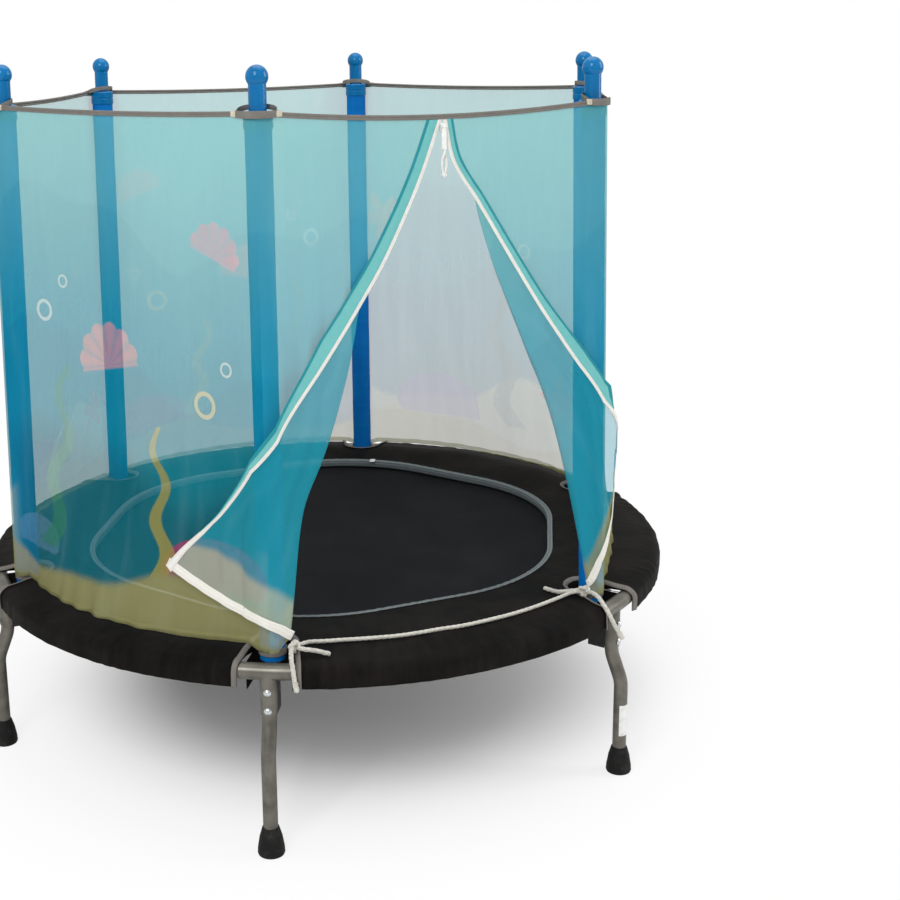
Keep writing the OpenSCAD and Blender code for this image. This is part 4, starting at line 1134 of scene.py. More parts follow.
@dataclass
class FoamPosts:
    """Foam sleeves on the leaning posts."""

    build: Build = BUILD
    bore_r: float = 0.0129
    edge_r: float = 0.0016
    dents: float = 0.0005
    slit: float = 0.0012
    slit_turn: float = 0.05

    def on_post(self, points: Array, k: int) -> Array:
        """Points (..., 3), with z up from the ring's height, set on post k's leaning axis."""
        b, a = self.build, math.radians(self.build.post_lean)
        x, y, t = np.moveaxis(points, -1, 0)
        lean = columns(x, y * math.cos(a) + t * math.sin(a) - b.post_r, t * math.cos(a) - y * math.sin(a) + b.ring_z)
        return turned(lean, b.post_angle(k))

    def sleeve(self, k: int) -> Piece:
        """The sleeve of post k: a closed profile turned about the post's axis.

        The outer wall sinks by shallow seeded dents, and a slit runs down its inner side as a
        narrow groove with the profile of a bell curve.
        """
        b, e = self.build, self.edge_r
        turn = np.linspace(0, np.pi / 2, 5)
        wall = np.linspace(b.foam_low + e, b.foam_high - e, 150)
        sides = 72
        low = columns(b.foam_r - e + e * np.sin(turn), b.foam_low + e - e * np.cos(turn))
        high = columns(b.foam_r - e + e * np.cos(turn), b.foam_high - e + e * np.sin(turn))
        inner = np.linspace(b.foam_high, b.foam_low, 12)
        profile = np.vstack([low[:-1], columns(b.foam_r, wall), high[1:],
                             columns(self.bore_r, inner)])
        angle = round_steps(sides)
        r, z = (np.repeat(profile[:, k:k + 1], sides, axis=1) for k in (0, 1))
        outer = r > self.bore_r + e
        dents = 0.5 + 0.5 * ripples(40 + k, 7, 3.0, 16.0, 0.02 * np.cos(angle), 0.02 * np.sin(angle), z)
        inside = np.angle(np.exp(1j * (angle - np.pi / 2)))
        slit = self.slit * np.exp(-((inside / self.slit_turn) ** 2))
        r = r - outer * (self.dents * np.clip(dents, 0, 1.2) + slit)
        points = polar(r, angle, z)
        round_ = np.arange(sides + 1) / sides * 2 * np.pi * b.foam_r
        uv = columns(round_, np.append(profile[:, 1], profile[0, 1])[:, None])
        shell = Shell().grid(self.on_post(points, k), around=True, along=True, uv=uv)
        return shell.piece(f"foam_tube_{k}")

    def make(self) -> None:
        """Make the six sleeves."""
        for k in range(1, self.build.sides + 1):
            piece = fitted(self.sleeve(k), FoamSkin(), "foam", f"foam_sleeve_{k}")


@dataclass
class SpringMat:
    """Jumping mat with its edge webbing, wire rings and springs."""

    build: Build = BUILD
    thickness: float = 0.002
    webbing_w: float = 0.022
    webbing_t: float = 0.0018
    webbing_z: float = 0.3208
    ring_w: float = 0.026
    ring_in: float = 0.489
    ring_out: float = 0.521
    ring_wire: float = 0.0024
    ring_tip: float = 0.0064
    ring_bend: float = 0.0022
    hook_z: float = 0.3184
    per_side: int = 5
    coil_r: float = 0.0056
    wire_r: float = 0.0009
    coil_in: float = 0.5345
    coil_out: float = 0.6175
    hook_in: float = 0.5154
    hook_drop: float = 0.0028
    hook_out: float = 0.6450
    turns: int = 36

    def angles(self) -> Array:
        """Angles of all springs from the doorway's direction, in radians."""
        b = self.build
        step = 2 * b.half_angle / self.per_side
        return np.concatenate([a + step * (np.arange(self.per_side) + 0.5) for a in b.post_angles])

    def cloth(self) -> Piece:
        """The mat: a disc's profile turned about the middle, with a faint ripple near its edge."""
        b = self.build
        r = np.concatenate([np.linspace(0, 0.42, 30), np.linspace(0.43, b.mat_r - 0.0006, 24)])
        top = columns(r, b.mat_z)
        edge = [[b.mat_r, b.mat_z - 0.0006], [b.mat_r, b.mat_z - 0.0014]]
        low = top[::-1] - [0, self.thickness]
        profile = np.vstack([top, edge, low])
        angle = round_steps(240)
        points = polar(profile[:, :1], angle, profile[:, 1:])
        pull = np.cos(30 * (angle - self.angles()[0]))[None] * smoothstep(0.44, 0.5, profile[:, :1])
        points[..., 2] -= 0.0003 * (1 + pull)
        closed = np.concatenate([points, points[:, :1]], axis=1)
        return Shell().grid(points, around=True, uv=closed[..., :2]).piece("jumping_cloth")

    def edge_webbing(self) -> Piece:
        """Webbing ring under the mat's edge: a rounded bar carried round a circle."""
        angle = round_steps(240)
        out = polar(1, angle, 0)
        path = out * (self.build.mat_r - self.webbing_w / 2) + [0, 0, self.webbing_z]
        bar = rounded_bar(self.webbing_w - 0.0004, self.webbing_t - 0.0002, 0.0007)
        return Shell().tube(path, out, UP, bar, closed=True).piece("edge_webbing")

    def wire_rings(self) -> Piece:
        """Thirty wire rings: each a rounded triangle of round wire.

        The triangle's outline is a closed spline through points doubled near its corners.
        """
        wire = self.ring_wire / 2
        w, i, o, t = self.ring_w / 2 - wire, self.ring_in + wire, self.ring_out - 0.0014, self.ring_tip / 2
        corners = np.array([[-w, i], [w, i], [t, o], [-t, o]])
        ahead, behind = np.roll(corners, -1, 0), np.roll(corners, 1, 0)
        near = [corners + unit(side - corners) * self.ring_bend for side in (behind, ahead)]
        knots = np.stack([near[0], corners * 0.75 + (near[0] + near[1]) * 0.125, near[1]], axis=1).reshape(-1, 2)
        loop = spline(np.vstack([knots, knots, knots]), np.linspace(12, 24, 49)[:-1])
        path = columns(loop[:, 0], -loop[:, 1], self.hook_z)
        _, across, up = frames(path, UP, closed=True)
        one = Shell().tube(path, across, up, circle(wire, 8), closed=True)
        return one.turned_to(self.angles()).piece("mat_wire_rings")

    def spring(self, number: int, angle: float) -> Piece:
        """One spring: a wire along a helix that narrows to a hook at either end.

        The wire runs in from the frame's hole, winds at the coil's radius, and ends under the
        mat's ring with its tip turned up through it.

        Args:
            number: Number in its name.
            angle: Its direction from the doorway, in radians.

        Returns:
            The spring.
        """
        t = np.linspace(0, 1, self.turns * 11)
        wound = self.coil_r * np.minimum(smoothstep(0, 0.022, t), smoothstep(1, 0.978, t))
        phase = 2 * np.pi * self.turns * t
        coil = columns(wound * np.sin(phase), -(self.coil_out + (self.coil_in - self.coil_out) * t),
                       wound * np.cos(phase))
        outer = columns(0, -np.linspace(self.hook_out, self.coil_out + 0.002, 6), 0)
        run = np.linspace(0, 1, 16)[1:]
        sink = -self.hook_drop * smoothstep(0, 0.35, run) + (self.hook_drop + 0.0012) * smoothstep(0.8, 1, run)
        reach = self.coil_in - 0.001 + (self.hook_in - self.coil_in + 0.001) * np.minimum(run / 0.9, 1)
        inner = columns(0, -reach, sink)
        path = np.vstack([outer, coil, inner]) + [0, 0, self.hook_z]
        _, across, up = frames(path, np.array([0.002, 0.0, 1.0]))
        shape = (turned(v, angle) for v in (path, across, up))
        return Shell().tube(*shape, circle(self.wire_r, 5)).piece(f"mat_spring_{number:02d}")

    def make(self) -> None:
        """Make the mat, its webbing and rings, and thirty springs baked where they stand."""
        cloth = fitted(self.cloth(), WovenMat(), "mat_cloth", "jumping_mat", body="mat")
        fitted(self.edge_webbing(), WovenTape(TapeKind.BLACK_WEBBING, stitched=True), "webbing", "mat_webbing",
               body="mat")
        fitted(self.wire_rings(), ZINC, "spring_zinc", "mat_rings", body="mat")
        for number, angle in enumerate(self.angles(), 1):
            piece = fitted(self.spring(number, angle), ZINC, "spring_zinc", "mat_springs", body="")
            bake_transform(piece)


@dataclass
class SafetyPad:
    """Padded cover over the springs, with its inner binding and the bindings of its slots."""

    build: Build = BUILD
    flat_r: float = 0.452
    corner: float = 0.022
    crown: float = 0.0045
    crown_in: float = 0.487
    crown_w: float = 0.143
    crown_fall: float = 0.0012
    roll_in: float = 0.622
    roll_full: float = 0.657
    roll_r: float = 0.018
    under_r: float = 0.015
    slot_r: float = 0.602
    slot_half: float = 0.035
    slot_mouth: float = 0.050
    binding_w: float = 0.009
    binding_t: float = 0.0012
    edge_drop: float = 0.003
    skirt_t: float = 0.003
    lining_in: float = 0.009
    lining_up: float = 0.009
    pucker: float = 0.0007
    swell: float = 0.0011
    gather: float = 0.0016

    def inner_r(self, angle: Array) -> Array:
        """Radius of the pad's inner edge at an angle from the doorway's direction.

        The edge is a hexagon whose corners, at the posts, are wide arcs tangent to its flats:
        on an arc the radius is c cos a + the root of R squared less c squared sin squared a.
        """
        b = self.build
        c = self.corner / (1 - math.cos(b.half_angle))
        r = self.flat_r - c * math.cos(b.half_angle)
        side = np.mod(angle, 2 * b.half_angle) - b.half_angle
        tangent = math.atan2(r * math.sin(b.half_angle), c + r * math.cos(b.half_angle))
        arc = c * np.cos(side) + np.sqrt(r * r - (c * np.sin(side)) ** 2)
        flat = self.flat_r / np.cos(b.half_angle - np.abs(side))
        return np.where(np.abs(side) <= tangent, arc, flat)

    def top_z(self, r: Array) -> Array:
        """Height of the cover at radius r: a low crown, then the roll over the ring tube."""
        b = self.build
        t = np.clip((r - self.crown_in) / self.crown_w, 0, 1)
        crown = b.pad_top_z + self.crown * np.sin(np.pi * t) - self.crown_fall * t**2
        roll = b.ring_z + np.sqrt(np.maximum(self.roll_r**2 - np.maximum(r - b.ring_r, 0) ** 2, 0))
        blend = smoothstep(self.roll_in, self.roll_full, r)
        return crown * (1 - blend) + roll * blend

    def slot_at(self, r: Array) -> Array:
        """Half the width of a slot at radius r: a half circle, then sides that open outwards."""
        bow = np.sqrt(np.maximum(self.slot_half**2 - (r - self.slot_r) ** 2, 0))
        side = self.slot_half + (self.slot_mouth - self.slot_half) * np.clip(
            (r - self.slot_r) / (self.build.pad_out_r - self.slot_r), 0, 1)
        return np.where(r < self.slot_r, bow, side)

    def profiles(self) -> tuple[Array, Array]:
        """Upper and lower outline (n, 2), as radius and height, from the slots' inner ends outwards."""
        b = self.build
        start = self.slot_r - self.slot_half
        bend = np.linspace(0, np.pi / 2, 10)
        run = start + (b.ring_r - start) * (1 - np.cos(np.linspace(0, np.pi / 2, 20))) ** 0.8
        fall = np.linspace(b.ring_z, b.skirt_z, 7)[1:]

        def outline(run_z: Array, roll_r: float, out_r: float) -> Array:
            """The flat at heights run_z, a quarter roll about the ring tube, and the skirt."""
            roll = columns(b.ring_r + roll_r * np.sin(bend), b.ring_z + roll_r * np.cos(bend))
            return np.vstack([columns(run, run_z), roll[1:], columns(out_r, fall)])

        under_z = b.pad_z + 0.005 * smoothstep(0.595, 0.633, run)
        return (outline(self.top_z(run), self.roll_r, b.pad_out_r),
                outline(under_z, self.under_r, b.pad_out_r - self.skirt_t))

    def relief(self, angle: Array, r: Array, z: Array) -> Array:
        """Wrinkles of the cover, in metres along its surface's direction.

        Fine puckers stand along the inner binding, slow swells cross the flat, and gathers of
        uneven length cross the roll and the skirt, where the cover is drawn in underneath.
        """
        arc = angle * self.build.ring_r
        edge = np.exp(-np.maximum(r - self.inner_r(angle) - self.binding_w, 0) / 0.012)
        puckers = self.pucker * edge * ripples(3, 5, 30.0, 60.0, arc)
        swells = self.swell * ripples(5, 7, 3.0, 9.0, arc, r) * smoothstep(0.47, 0.52, r) * smoothstep(0.66, 0.63, r)
        folds = ripples(8, 9, 12.0, 36.0, arc, 0.25 * (r + 0.4 * (self.build.ring_z - z)))
        gathers = self.gather * (np.abs(folds) - 0.6) * smoothstep(0.612, 0.668, r)
        return puckers + swells + gathers

    def sector(self, shell: Shell, k: int) -> None:
        """Add the pad between posts k and k + 1: inner ring, outer roll, underside and slot walls.

        A column's angle is the sector's middle plus its share u of half the sector, less the
        angle that the slot takes up at each radius.

        Args:
            shell: The surface it is added to.
            k: Number of the post at the sector's start.
        """
        b = self.build
        middle = b.post_angle(k) + b.half_angle
        crowding = 0.92
        u = np.sin(np.linspace(-1, 1, 97) * np.pi / 2 * crowding) / math.sin(np.pi / 2 * crowding)
        start = self.slot_r - self.slot_half
        upper, lower = self.profiles()

        def place(radius: Array, height: Array | float, sign: float) -> tuple[Array, Array]:
            """Points and texture places of a grid of radii and heights."""
            taken = np.arcsin(np.where(radius > start, self.slot_at(radius), 0) / radius)
            angle = middle + u[None] * (b.half_angle - taken)
            lift = self.relief(angle, radius, height) * sign
            lift = lift * (1 - smoothstep(0.84, 0.95, np.abs(u))[None] * smoothstep(0.585, 0.61, radius))
            outward = smoothstep(b.ring_r - 0.006, b.ring_r + self.roll_r - 0.001, radius)
            radial = radius + lift * outward
            points = columns(radial * np.sin(angle), -radial * np.cos(angle), height + lift * (1 - outward))
            travel = np.linalg.norm(np.diff(points, axis=0, prepend=points[:1]), axis=2).cumsum(axis=0)
            return points, columns(angle * b.ring_r, travel)

        angle = middle + u * b.half_angle
        inner = self.inner_r(angle)
        share = np.linspace(0, 1, 26)[:, None] ** 1.15
        radius = inner[None] + (start - inner[None]) * share
        roll_in = np.minimum(share * 8, 1)
        top = b.pad_top_z - self.edge_drop * (1 - roll_in) ** 2 + (self.top_z(radius) - b.pad_top_z)
        flat_top, flat_uv = place(radius, top, 1)
        flat_low, low_uv = place(radius, b.pad_z, 0)
        shell.grid(flat_top, uv=flat_uv)
        shell.grid(flat_low, uv=low_uv, flip=True)
        shell.grid(np.stack([flat_top[0], flat_low[0]]))
        over, over_uv = place(upper[:, :1], upper[:, 1:], 1)
        under, under_uv = place(lower[:, :1], lower[:, 1:], 0)
        over[0], under[0] = flat_top[-1], flat_low[-1]
        over_uv[..., 1] += flat_uv[-1:, :, 1]
        shell.grid(over, uv=over_uv)
        shell.grid(under, uv=under_uv, flip=True)
        shell.grid(np.stack([over[-1], under[-1]]))
        for column in (0, -1):
            shell.grid(np.stack([over[:, column], under[:, column]]))

    def cover(self) -> Piece:
        """The whole pad, its six sectors welded where they meet."""
        shell = Shell()
        for k in range(1, self.build.sides + 1):
            self.sector(shell, k)
            points, faces, uvs = self.lining()
            shell.faces.append(faces + shell.count())
            shell.points.append(turned(points, self.build.post_angle(k)))
            shell.uvs.append(uvs)
        return shell.piece("safety_pad_cover", weld=2e-5)

    def lining(self) -> tuple[Array, Array, Array]:
        """Cloth wall round the inner end of a slot at angle zero: points, faces and texture places."""
        b = self.build
        turn = np.linspace(0, np.pi, 33)
        bend = polar(self.slot_half, turn) - [0, self.slot_r]
        end = -b.ring_r + self.roll_r - self.lining_in
        bend = np.vstack([[self.slot_half + 0.003, end], bend, [-self.slot_half - 0.003, end]])
        path = columns(*bend.T, b.skirt_z + self.lining_up)
        _, side, up = frames(path, UP)
        one = Shell().tube(path, side, up, rounded_bar(0.0014, 0.048, 0.0006, 2))
        return one.points[0], one.faces[0], one.uvs[0]

    def inner_binding(self) -> Piece:
        """Tape folded over the pad's inner edge.

        Its section is an upside-down L: a flange on the cover and a wall down the edge, carried
        round the edge, with puckers that lift the flange by a fraction of a millimetre.
        """
        b = self.build
        steps = 720
        angle = round_steps(steps)
        r = self.inner_r(angle)
        path = columns(r * np.sin(angle), -r * np.cos(angle), b.pad_top_z)
        along = unit(np.roll(path, -1, 0) - np.roll(path, 1, 0))
        out = np.cross(along, UP)
        out *= np.sign((out * path).sum(axis=1, keepdims=True))
        t, w, g = self.binding_t, self.binding_w, 0.0003
        low = b.pad_z - b.pad_top_z
        section = np.array([
            [w, g], [w + 0.0002, g + t * 0.5], [w - 0.0004, g + t], [w * 0.6, g + t * 1.08], [w * 0.25, g + t],
            [0.0012, g + t * 0.95], [-g - t * 0.55, g + t * 0.5], [-g - t, -0.0012], [-g - t * 1.05, low * 0.5],
            [-g - t, low + 0.0004], [-g - t * 0.5, low], [-g, low + 0.0004], [-g, low * 0.5], [-g, -0.001],
            [0.0004, g * 0.6], [w * 0.5, g]])
        pucker = 0.00028 * ripples(14, 6, 35.0, 70.0, angle * self.flat_r)
        shape = np.repeat(section[None], steps, axis=0)
        shape[:, 1:7, 1] += pucker[:, None]
        shape[:, 0:4, 0] += 0.6 * pucker[::-1, None]
        return Shell().tube(path, out, UP, shape, closed=True).piece("inner_edge_binding")

    def slot_path(self) -> tuple[Array, Array]:
        """Points (n, 3) along the edge of a slot at angle zero, and directions away from the slot.

        They go up one side from the skirt, over the roll, round the slot's inner end, and down
        the other side. The height comes from the cover's outline at each point's radius.
        """
        b = self.build
        drop = np.linspace(b.skirt_z + 0.001, b.ring_z, 12)
        bend = np.linspace(0, np.pi / 2, 16)
        roll_r, roll_z = b.ring_r + self.roll_r * np.cos(bend), b.ring_z + self.roll_r * np.sin(bend)
        inwards = np.linspace(b.ring_r, self.slot_r, 20)[1:]
        radius = np.concatenate([np.full(12, b.pad_out_r), roll_r[1:], inwards])
        height = np.concatenate([drop, roll_z[1:], self.top_z(inwards)])
        half = self.slot_at(radius)
        side = columns(half, -np.sqrt(radius**2 - half**2), height)
        turn = np.linspace(0, np.pi, 41)[1:-1]
        end = polar(self.slot_half, turn) - [0, self.slot_r]
        away_end = polar(1, turn, 0)
        end = columns(*end.T, self.top_z(np.linalg.norm(end, axis=1)))
        mirror = np.array([-1.0, 1.0, 1.0])
        away = np.tile(RIGHT, (len(side), 1))
        path = np.vstack([side, end, side[::-1] * mirror])
        return path, np.vstack([away, away_end, away[::-1] * mirror])

    def slot_bindings(self) -> Piece:
        """Grey strap round each slot: a soft flat band that rounds the cover's edge.

        The band's section is a rounded bar that leans over the edge by a quarter turn.
        """
        path, away = self.slot_path()
        along = course(path)
        away = squared(away, along)
        up = np.cross(along, away)
        up *= np.sign(up[:, 2:] - up[:, 1:2])
        section = rounded_bar(0.0085, 0.0024, 0.001, 3) + [0.0036, 0.0024]
        curl = np.maximum(0.0028 - section[:, 0], 0)
        section = section - columns(0, 1.2 * curl)
        rise = 0.0004 * (1 + ripples(21, 5, 18.0, 50.0, run_along(path)))
        shape = np.repeat(section[None], len(path), axis=0) + rise[:, None, None] * np.array([0.0, 1.0])
        one = Shell().tube(path, away, up, shape)
        return one.turned_to(self.build.post_angles).piece("slot_edge_straps")

    def make(self) -> None:
        """Make the pad and its bindings."""
        pad = fitted(self.cover(), CoatedCover(), "pad_cover", "safety_pad")
        fitted(self.inner_binding(), WovenTape(TapeKind.GREY_BINDING, stitched=True), "grey_binding",
               "pad_inner_binding")
        fitted(self.slot_bindings(), WovenTape(TapeKind.GREY_ELASTIC), "grey_binding", "slot_bindings")


@dataclass(frozen=True)
class Flap:
    """One door flap: its zip edge, its fold, and how it lies.

    Each curve lists distance along the net from the doorway's middle, height, and distance off
    the net, in millimetres, from the rim down.

    Attributes:
        name: Side's name.
        side: -1 for the left flap, 1 for the right one.
        bow: How far the folded part bows out of a straight line.
        zip_edge: The free edge, which carries the zip.
        fold: The line along which the flap turns back on itself.
        facing: Rows of the flap, and the width of the teal facing at each in metres.
        raised: How far the lower edge is lifted where it crosses the post, in metres.
    """

    name: str
    side: int
    bow: float
    zip_edge: Array
    fold: Array
    facing: tuple[Sequence[float], Sequence[float]]
    raised: float = 0.0


LAST_ROW = 11.0
LEFT_FLAP = Flap("left", -1, 1.1, millimetres(
    (-1, 1195, 0), (-42, 1094, 2), (-101, 980, 4), (-153, 902, 7), (-188, 854, 10), (-224, 808, 14),
    (-285, 730, 17), (-329, 650, 18), (-385, 580, 19), (-422, 544, 20), (-468, 503, 20), (-500, 468, 20)),
    millimetres((-40, 1196, 0), (-84, 1094, 1), (-125, 980, 2), (-147, 900, 3), (-158, 850, 5), (-170, 800, 6),
                (-192, 728, 6), (-218, 660, 7), (-248, 596, 7), (-262, 540, 8), (-274, 446, 8), (-285, 364, 8)),
    ((0, 2, 4, 5, 6, 7, 8, 8.8), (0.019, 0.022, 0.025, 0.020, 0.011, 0.008, 0.003, 0.001)), 0.008)
RIGHT_FLAP = Flap("right", 1, 0.5, millimetres(
    (9, 1195, 0), (24, 1124, 2), (66, 1057, 5), (98, 1004, 8), (140, 935, 12), (176, 878, 15),
    (212, 826, 17), (245, 780, 18), (280, 735, 19), (306, 693, 20), (326, 650, 20), (341, 600, 19)),
    millimetres((48, 1196, 0), (56, 1124, 1), (61, 1053, 3), (86, 965, 6), (112, 898, 7), (134, 845, 8),
                (158, 788, 8), (180, 738, 8), (205, 668, 8), (230, 576, 8), (255, 468, 8), (278, 362, 8)),
    ((0, 3, 4.7, 6.7, 8.2, 9.2), (0.011, 0.012, 0.014, 0.021, 0.018, 0.001)))


@dataclass
class EnclosureNet:
    """Printed net: five whole sides, two door flaps with their zips, rim tape and loops."""

    build: Build = BUILD
    hem_l: float = 0.011
    tape_h: float = 0.0084
    tape_t: float = 0.0017
    tape_off: float = 0.0017
    tape_low: float = 0.0031
    loop_half_w: float = 0.031
    zip_w: tuple[float, ...] = (0.0058, 0.0054, 0.010, 0.015)
    zip_t: float = 0.0014
    zip_off: float = 0.0011
    teeth_r: float = 0.0011
    facing_hem: float = 0.0055
    facing_off: float = 0.0012
    facing_t: float = 0.0008
    facing_hem_t: float = 0.0013
    teeth_pitch: float = 0.0028
    band_w: float = 0.0165
    creases: float = 0.0022
    gather: float = 0.0022
    pucker: float = 0.0006
    drape: float = 0.0026
    fine_drape: float = 0.0008
    fold_crease: float = 0.0045
    drawn_in: float = 0.45
    hem_dip: float = 0.009
    loop_low: float = 0.0036
    elastic_h: float = 0.0124
    elastic_t: float = 0.0012
    elastic_rib: float = 0.0004
    elastic_off: float = 0.0011
    elastic_z: float = 0.0205
    zip_x: float = 0.004
    patch_w: float = 0.0125
    patch_t: float = 0.0012
    patch_off: float = 0.0013
    stop_w: float = 0.0105
    stop_t: float = 0.0034
    stop_off: float = 0.0006

    def on_net(self, s: Array, z: Array, off: Array | float = 0.0) -> Array:
        """Points (..., 3) at s along a side from its middle, at height z and off outwards.

        The net runs straight along a side, bends round each post's far side in an arc, and goes
        straight on along the next side.
        """
        b = self.build
        s, z, off = np.broadcast_arrays(s, z, off)
        half = b.half_side(z)
        beyond = np.abs(s) - half
        turn = np.clip(beyond, 0, b.wrap_l) / b.net_wrap
        on = np.maximum(beyond - b.wrap_l, 0)
        reach = b.net_wrap + off
        x = np.minimum(np.abs(s), half) + reach * np.sin(turn) + on * math.cos(2 * b.half_angle)
        y = b.axis_r(z) * math.cos(b.half_angle) + reach * np.cos(turn) - on * math.sin(2 * b.half_angle)
        return columns(np.where(s < 0, -x, x), -y, z)

    def flare(self, s: Array, z: Array) -> Array:
        """How far the hem is drawn out from a flat side, fading upwards as a square."""
        b = self.build
        out = np.sqrt(np.maximum(b.hem_r**2 - s**2, 0)) - b.flat_r(z)
        fade = np.clip((b.flare_z - z) / (b.flare_z - b.hem_z), 0, None)
        return np.maximum(out, 0) * fade**2

    def rim_at(self, s: Array, sag: float) -> Array:
        """Height of the rim at s: it sags as a parabola between two posts."""
        b = self.build
        return b.rim_z - sag * (1 - np.minimum(np.abs(s) / b.half_side(b.rim_z), 1) ** 2)

    def print_place(self, s: Array, z: Array, side: int) -> Array:
        """Texture place: distance round the net as at mid height, and height."""
        b = self.build
        round_ = side * 0.63 + s * 0.315 / (b.half_side(z) + b.wrap_l / 2)
        return columns(round_, z)

    def panel(self, side: int) -> Piece:
        """One whole side of the net, from a rolled hem up to the rim.

        Its distance off the flat is the hem's flare plus three kinds of seeded ripples: slack
        creases in its middle, gathers above the hem, and small puckers under the rim tape.

        Args:
            side: Number of the side, counted from the doorway.

        Returns:
            The panel.
        """
        b = self.build
        seam = b.wrap_l / 2
        share = np.linspace(0, 1, 84)[:, None]
        u = np.linspace(-1, 1, 131)[None]
        s_top = u * (b.half_side(b.rim_z) + seam)
        hem_z = b.hem_z - self.hem_dip * smoothstep(-0.035, -0.005, np.abs(s_top) - b.half_side(b.rim_z))
        z = hem_z + (self.rim_at(s_top, b.rim_sag) - hem_z) * share
        s = u * (b.half_side(z) + seam)
        free = np.clip(1 - (np.abs(s) / b.half_side(z)) ** 3, 0, 1)
        slack = ripples(60 + side, 8, 1.2, 5.0, s, 0.45 * z + 0.2 * s) * smoothstep(0, 0.05, b.rim_z - z)
        above = z - b.hem_z
        gathers = ripples(70 + side, 7, 9.0, 22.0, s + 0.12 * z) * np.exp(-above / 0.06)
        puckers = ripples(80 + side, 6, 22.0, 40.0, s) * np.exp(-(b.rim_z - z) / 0.03)
        off = free * (self.creases * slack + self.gather * gathers + self.pucker * puckers)
        off = off + self.flare(s, z) * (self.drawn_in if side == 1 else 1.0)
        cloth = self.on_net(s, z, off)
        hem_rise = np.array([1.0, 0.5, 0.08, 0.0])[:, None] * self.hem_l
        hem_in = np.array([0.0013, 0.0014, 0.0011, 0.0005])[:, None]
        hem = self.on_net(s[:1] + 0 * hem_rise, z[:1] + hem_rise, off[:1] - hem_in)
        places = self.print_place(s, z, side)
        hem_places = self.print_place(s[:1] + 0 * hem_rise, z[:1] + hem_rise, side)
        shell = Shell().grid(np.concatenate([hem, cloth]), uv=np.concatenate([hem_places, places]), flip=True)
        shell.points = [turned(p, 2 * b.half_angle * side) for p in shell.points]
        return shell.piece(f"net_side_{side}", outwards=False)

    def flap_rows(self, flap: Flap, t: Array, u_near: Array, u_far: Array) -> tuple[Array, Array, Array, Array]:
        """Rows of a flap: round its post, on to the fold, and back to the free edge.

        Near the post a row is a straight run to the fold that sags and swells a little; past the
        fold it runs back to the zip on a power curve, further off the net. Draped folds are
        ripples that run with the rows' own direction, so they fan out from the rim.

        Args:
            flap: The flap.
            t: Row positions from 0 at the rim to the last row at the lower edge, (n,).
            u_near: Positions from the post to the fold, (m,).
            u_far: Positions from the fold to the free edge, (k,).

        Returns:
            Distance along the net, height, distance off it, and distance along the cloth,
            each (n, 2 + m + k).
        """
        b = self.build
        f = (t / LAST_ROW)[:, None]
        dip = self.hem_dip * f**4
        fold_s, fold_z, fold_off = (spline(flap.fold, t)[:, k:k + 1] for k in range(3))
        edge_s, edge_z, edge_off = (spline(flap.zip_edge, t)[:, k:k + 1] for k in range(3))
        row_z = b.rim_z + (b.hem_z - b.rim_z) * f
        post = flap.side * b.half_side(row_z)
        lift = 0.001 * np.minimum(8 * f, 1)
        seam = b.wrap_l / 2
        wrap_s = post + flap.side * seam * (1 - np.array([0.0, 0.35, 0.7]))
        u = u_near[None]
        near_s = post + (fold_s - post) * u
        near_z = row_z + (fold_z - row_z) * u - 0.75 * b.door_sag * u * (1 - u) * (1 - f) ** 3
        near_z = near_z - dip * (1 - u)
        sway = np.sin(np.pi * u) * np.sin(np.radians(110 * u + 160 * f))
        near_off = lift + (fold_off - lift) * u**2 + 2.5 * lift * sway
        width = np.abs(fold_s - post)
        drape = ripples(91 + flap.side, 6, 9.0, 24.0, u * width + 0.05 * f)
        fine = ripples(95 + flap.side, 5, 25.0, 50.0, u * width)
        soft = np.minimum(width / 0.12, 1) * np.sin(np.pi * u) ** 0.7 * smoothstep(0.02, 0.3, f)
        near_off = near_off + soft * (self.drape * drape + self.fine_drape * fine)
        w = u_far[None]
        far_s = fold_s + (edge_s - fold_s) * w**flap.bow
        hump = flap.raised * smoothstep(0.8, 1.0, f) * np.exp(-(((w - 0.21) / 0.11) ** 2))
        far_z = fold_z + (edge_z - fold_z) * w + hump
        span = np.hypot(edge_s - fold_s, edge_z - fold_z)
        sway = np.sin(np.pi * w) * np.sin(np.radians(90 + 200 * f))
        far_off = fold_off + (edge_off - fold_off) * np.sqrt(w) + np.minimum(2 * lift, span / 20) * sway
        crease = ripples(101 + flap.side, 6, 8.0, 26.0, w * span + 0.03 * f)
        rise = 0.5 * (1 + crease) * np.minimum(span / 0.1, 1) * np.sin(np.pi * w)
        far_off = far_off + self.fold_crease * np.clip(rise, 0, 1.4) * (1 - 0.8 * smoothstep(0.9, 1.0, f))
        full = (len(t), 3)
        s = np.hstack([np.broadcast_to(wrap_s, full), near_s, far_s])
        z = np.hstack([np.broadcast_to(row_z - dip, full), near_z, far_z])
        off = np.hstack([np.broadcast_to(lift, full), near_off, far_off])
        cloth = np.hstack([np.broadcast_to(wrap_s, full), near_s, fold_s - flap.side * w * span])
        return s, z, off, cloth

    def folded_part(self, flap: Flap, t: Array, w: Array) -> tuple[Array, Array, Array]:
        """Distance along the net, height and distance off it, at shares w from fold to free edge."""
        before = 4
        s, z, off, _ = self.flap_rows(flap, t, np.array([0.5]), w)
        return s[:, before:], z[:, before:], off[:, before:]

    def under_flap(self, s: Array, z: Array) -> Array:
        """Flare of the next side's net where a flap lies over it."""
        b = self.build
        beyond = np.abs(s) - b.half_side(z) - b.wrap_l
        return np.where(beyond > 0, self.flare(b.half_side(z) - beyond, z), 0)

    def placed(self, s: Array, z: Array, off: Array) -> Array:
        """Points of a flap given along, up and off the net, clear of what lies under it."""
        return self.on_net(s, z, off + self.under_flap(s, z))

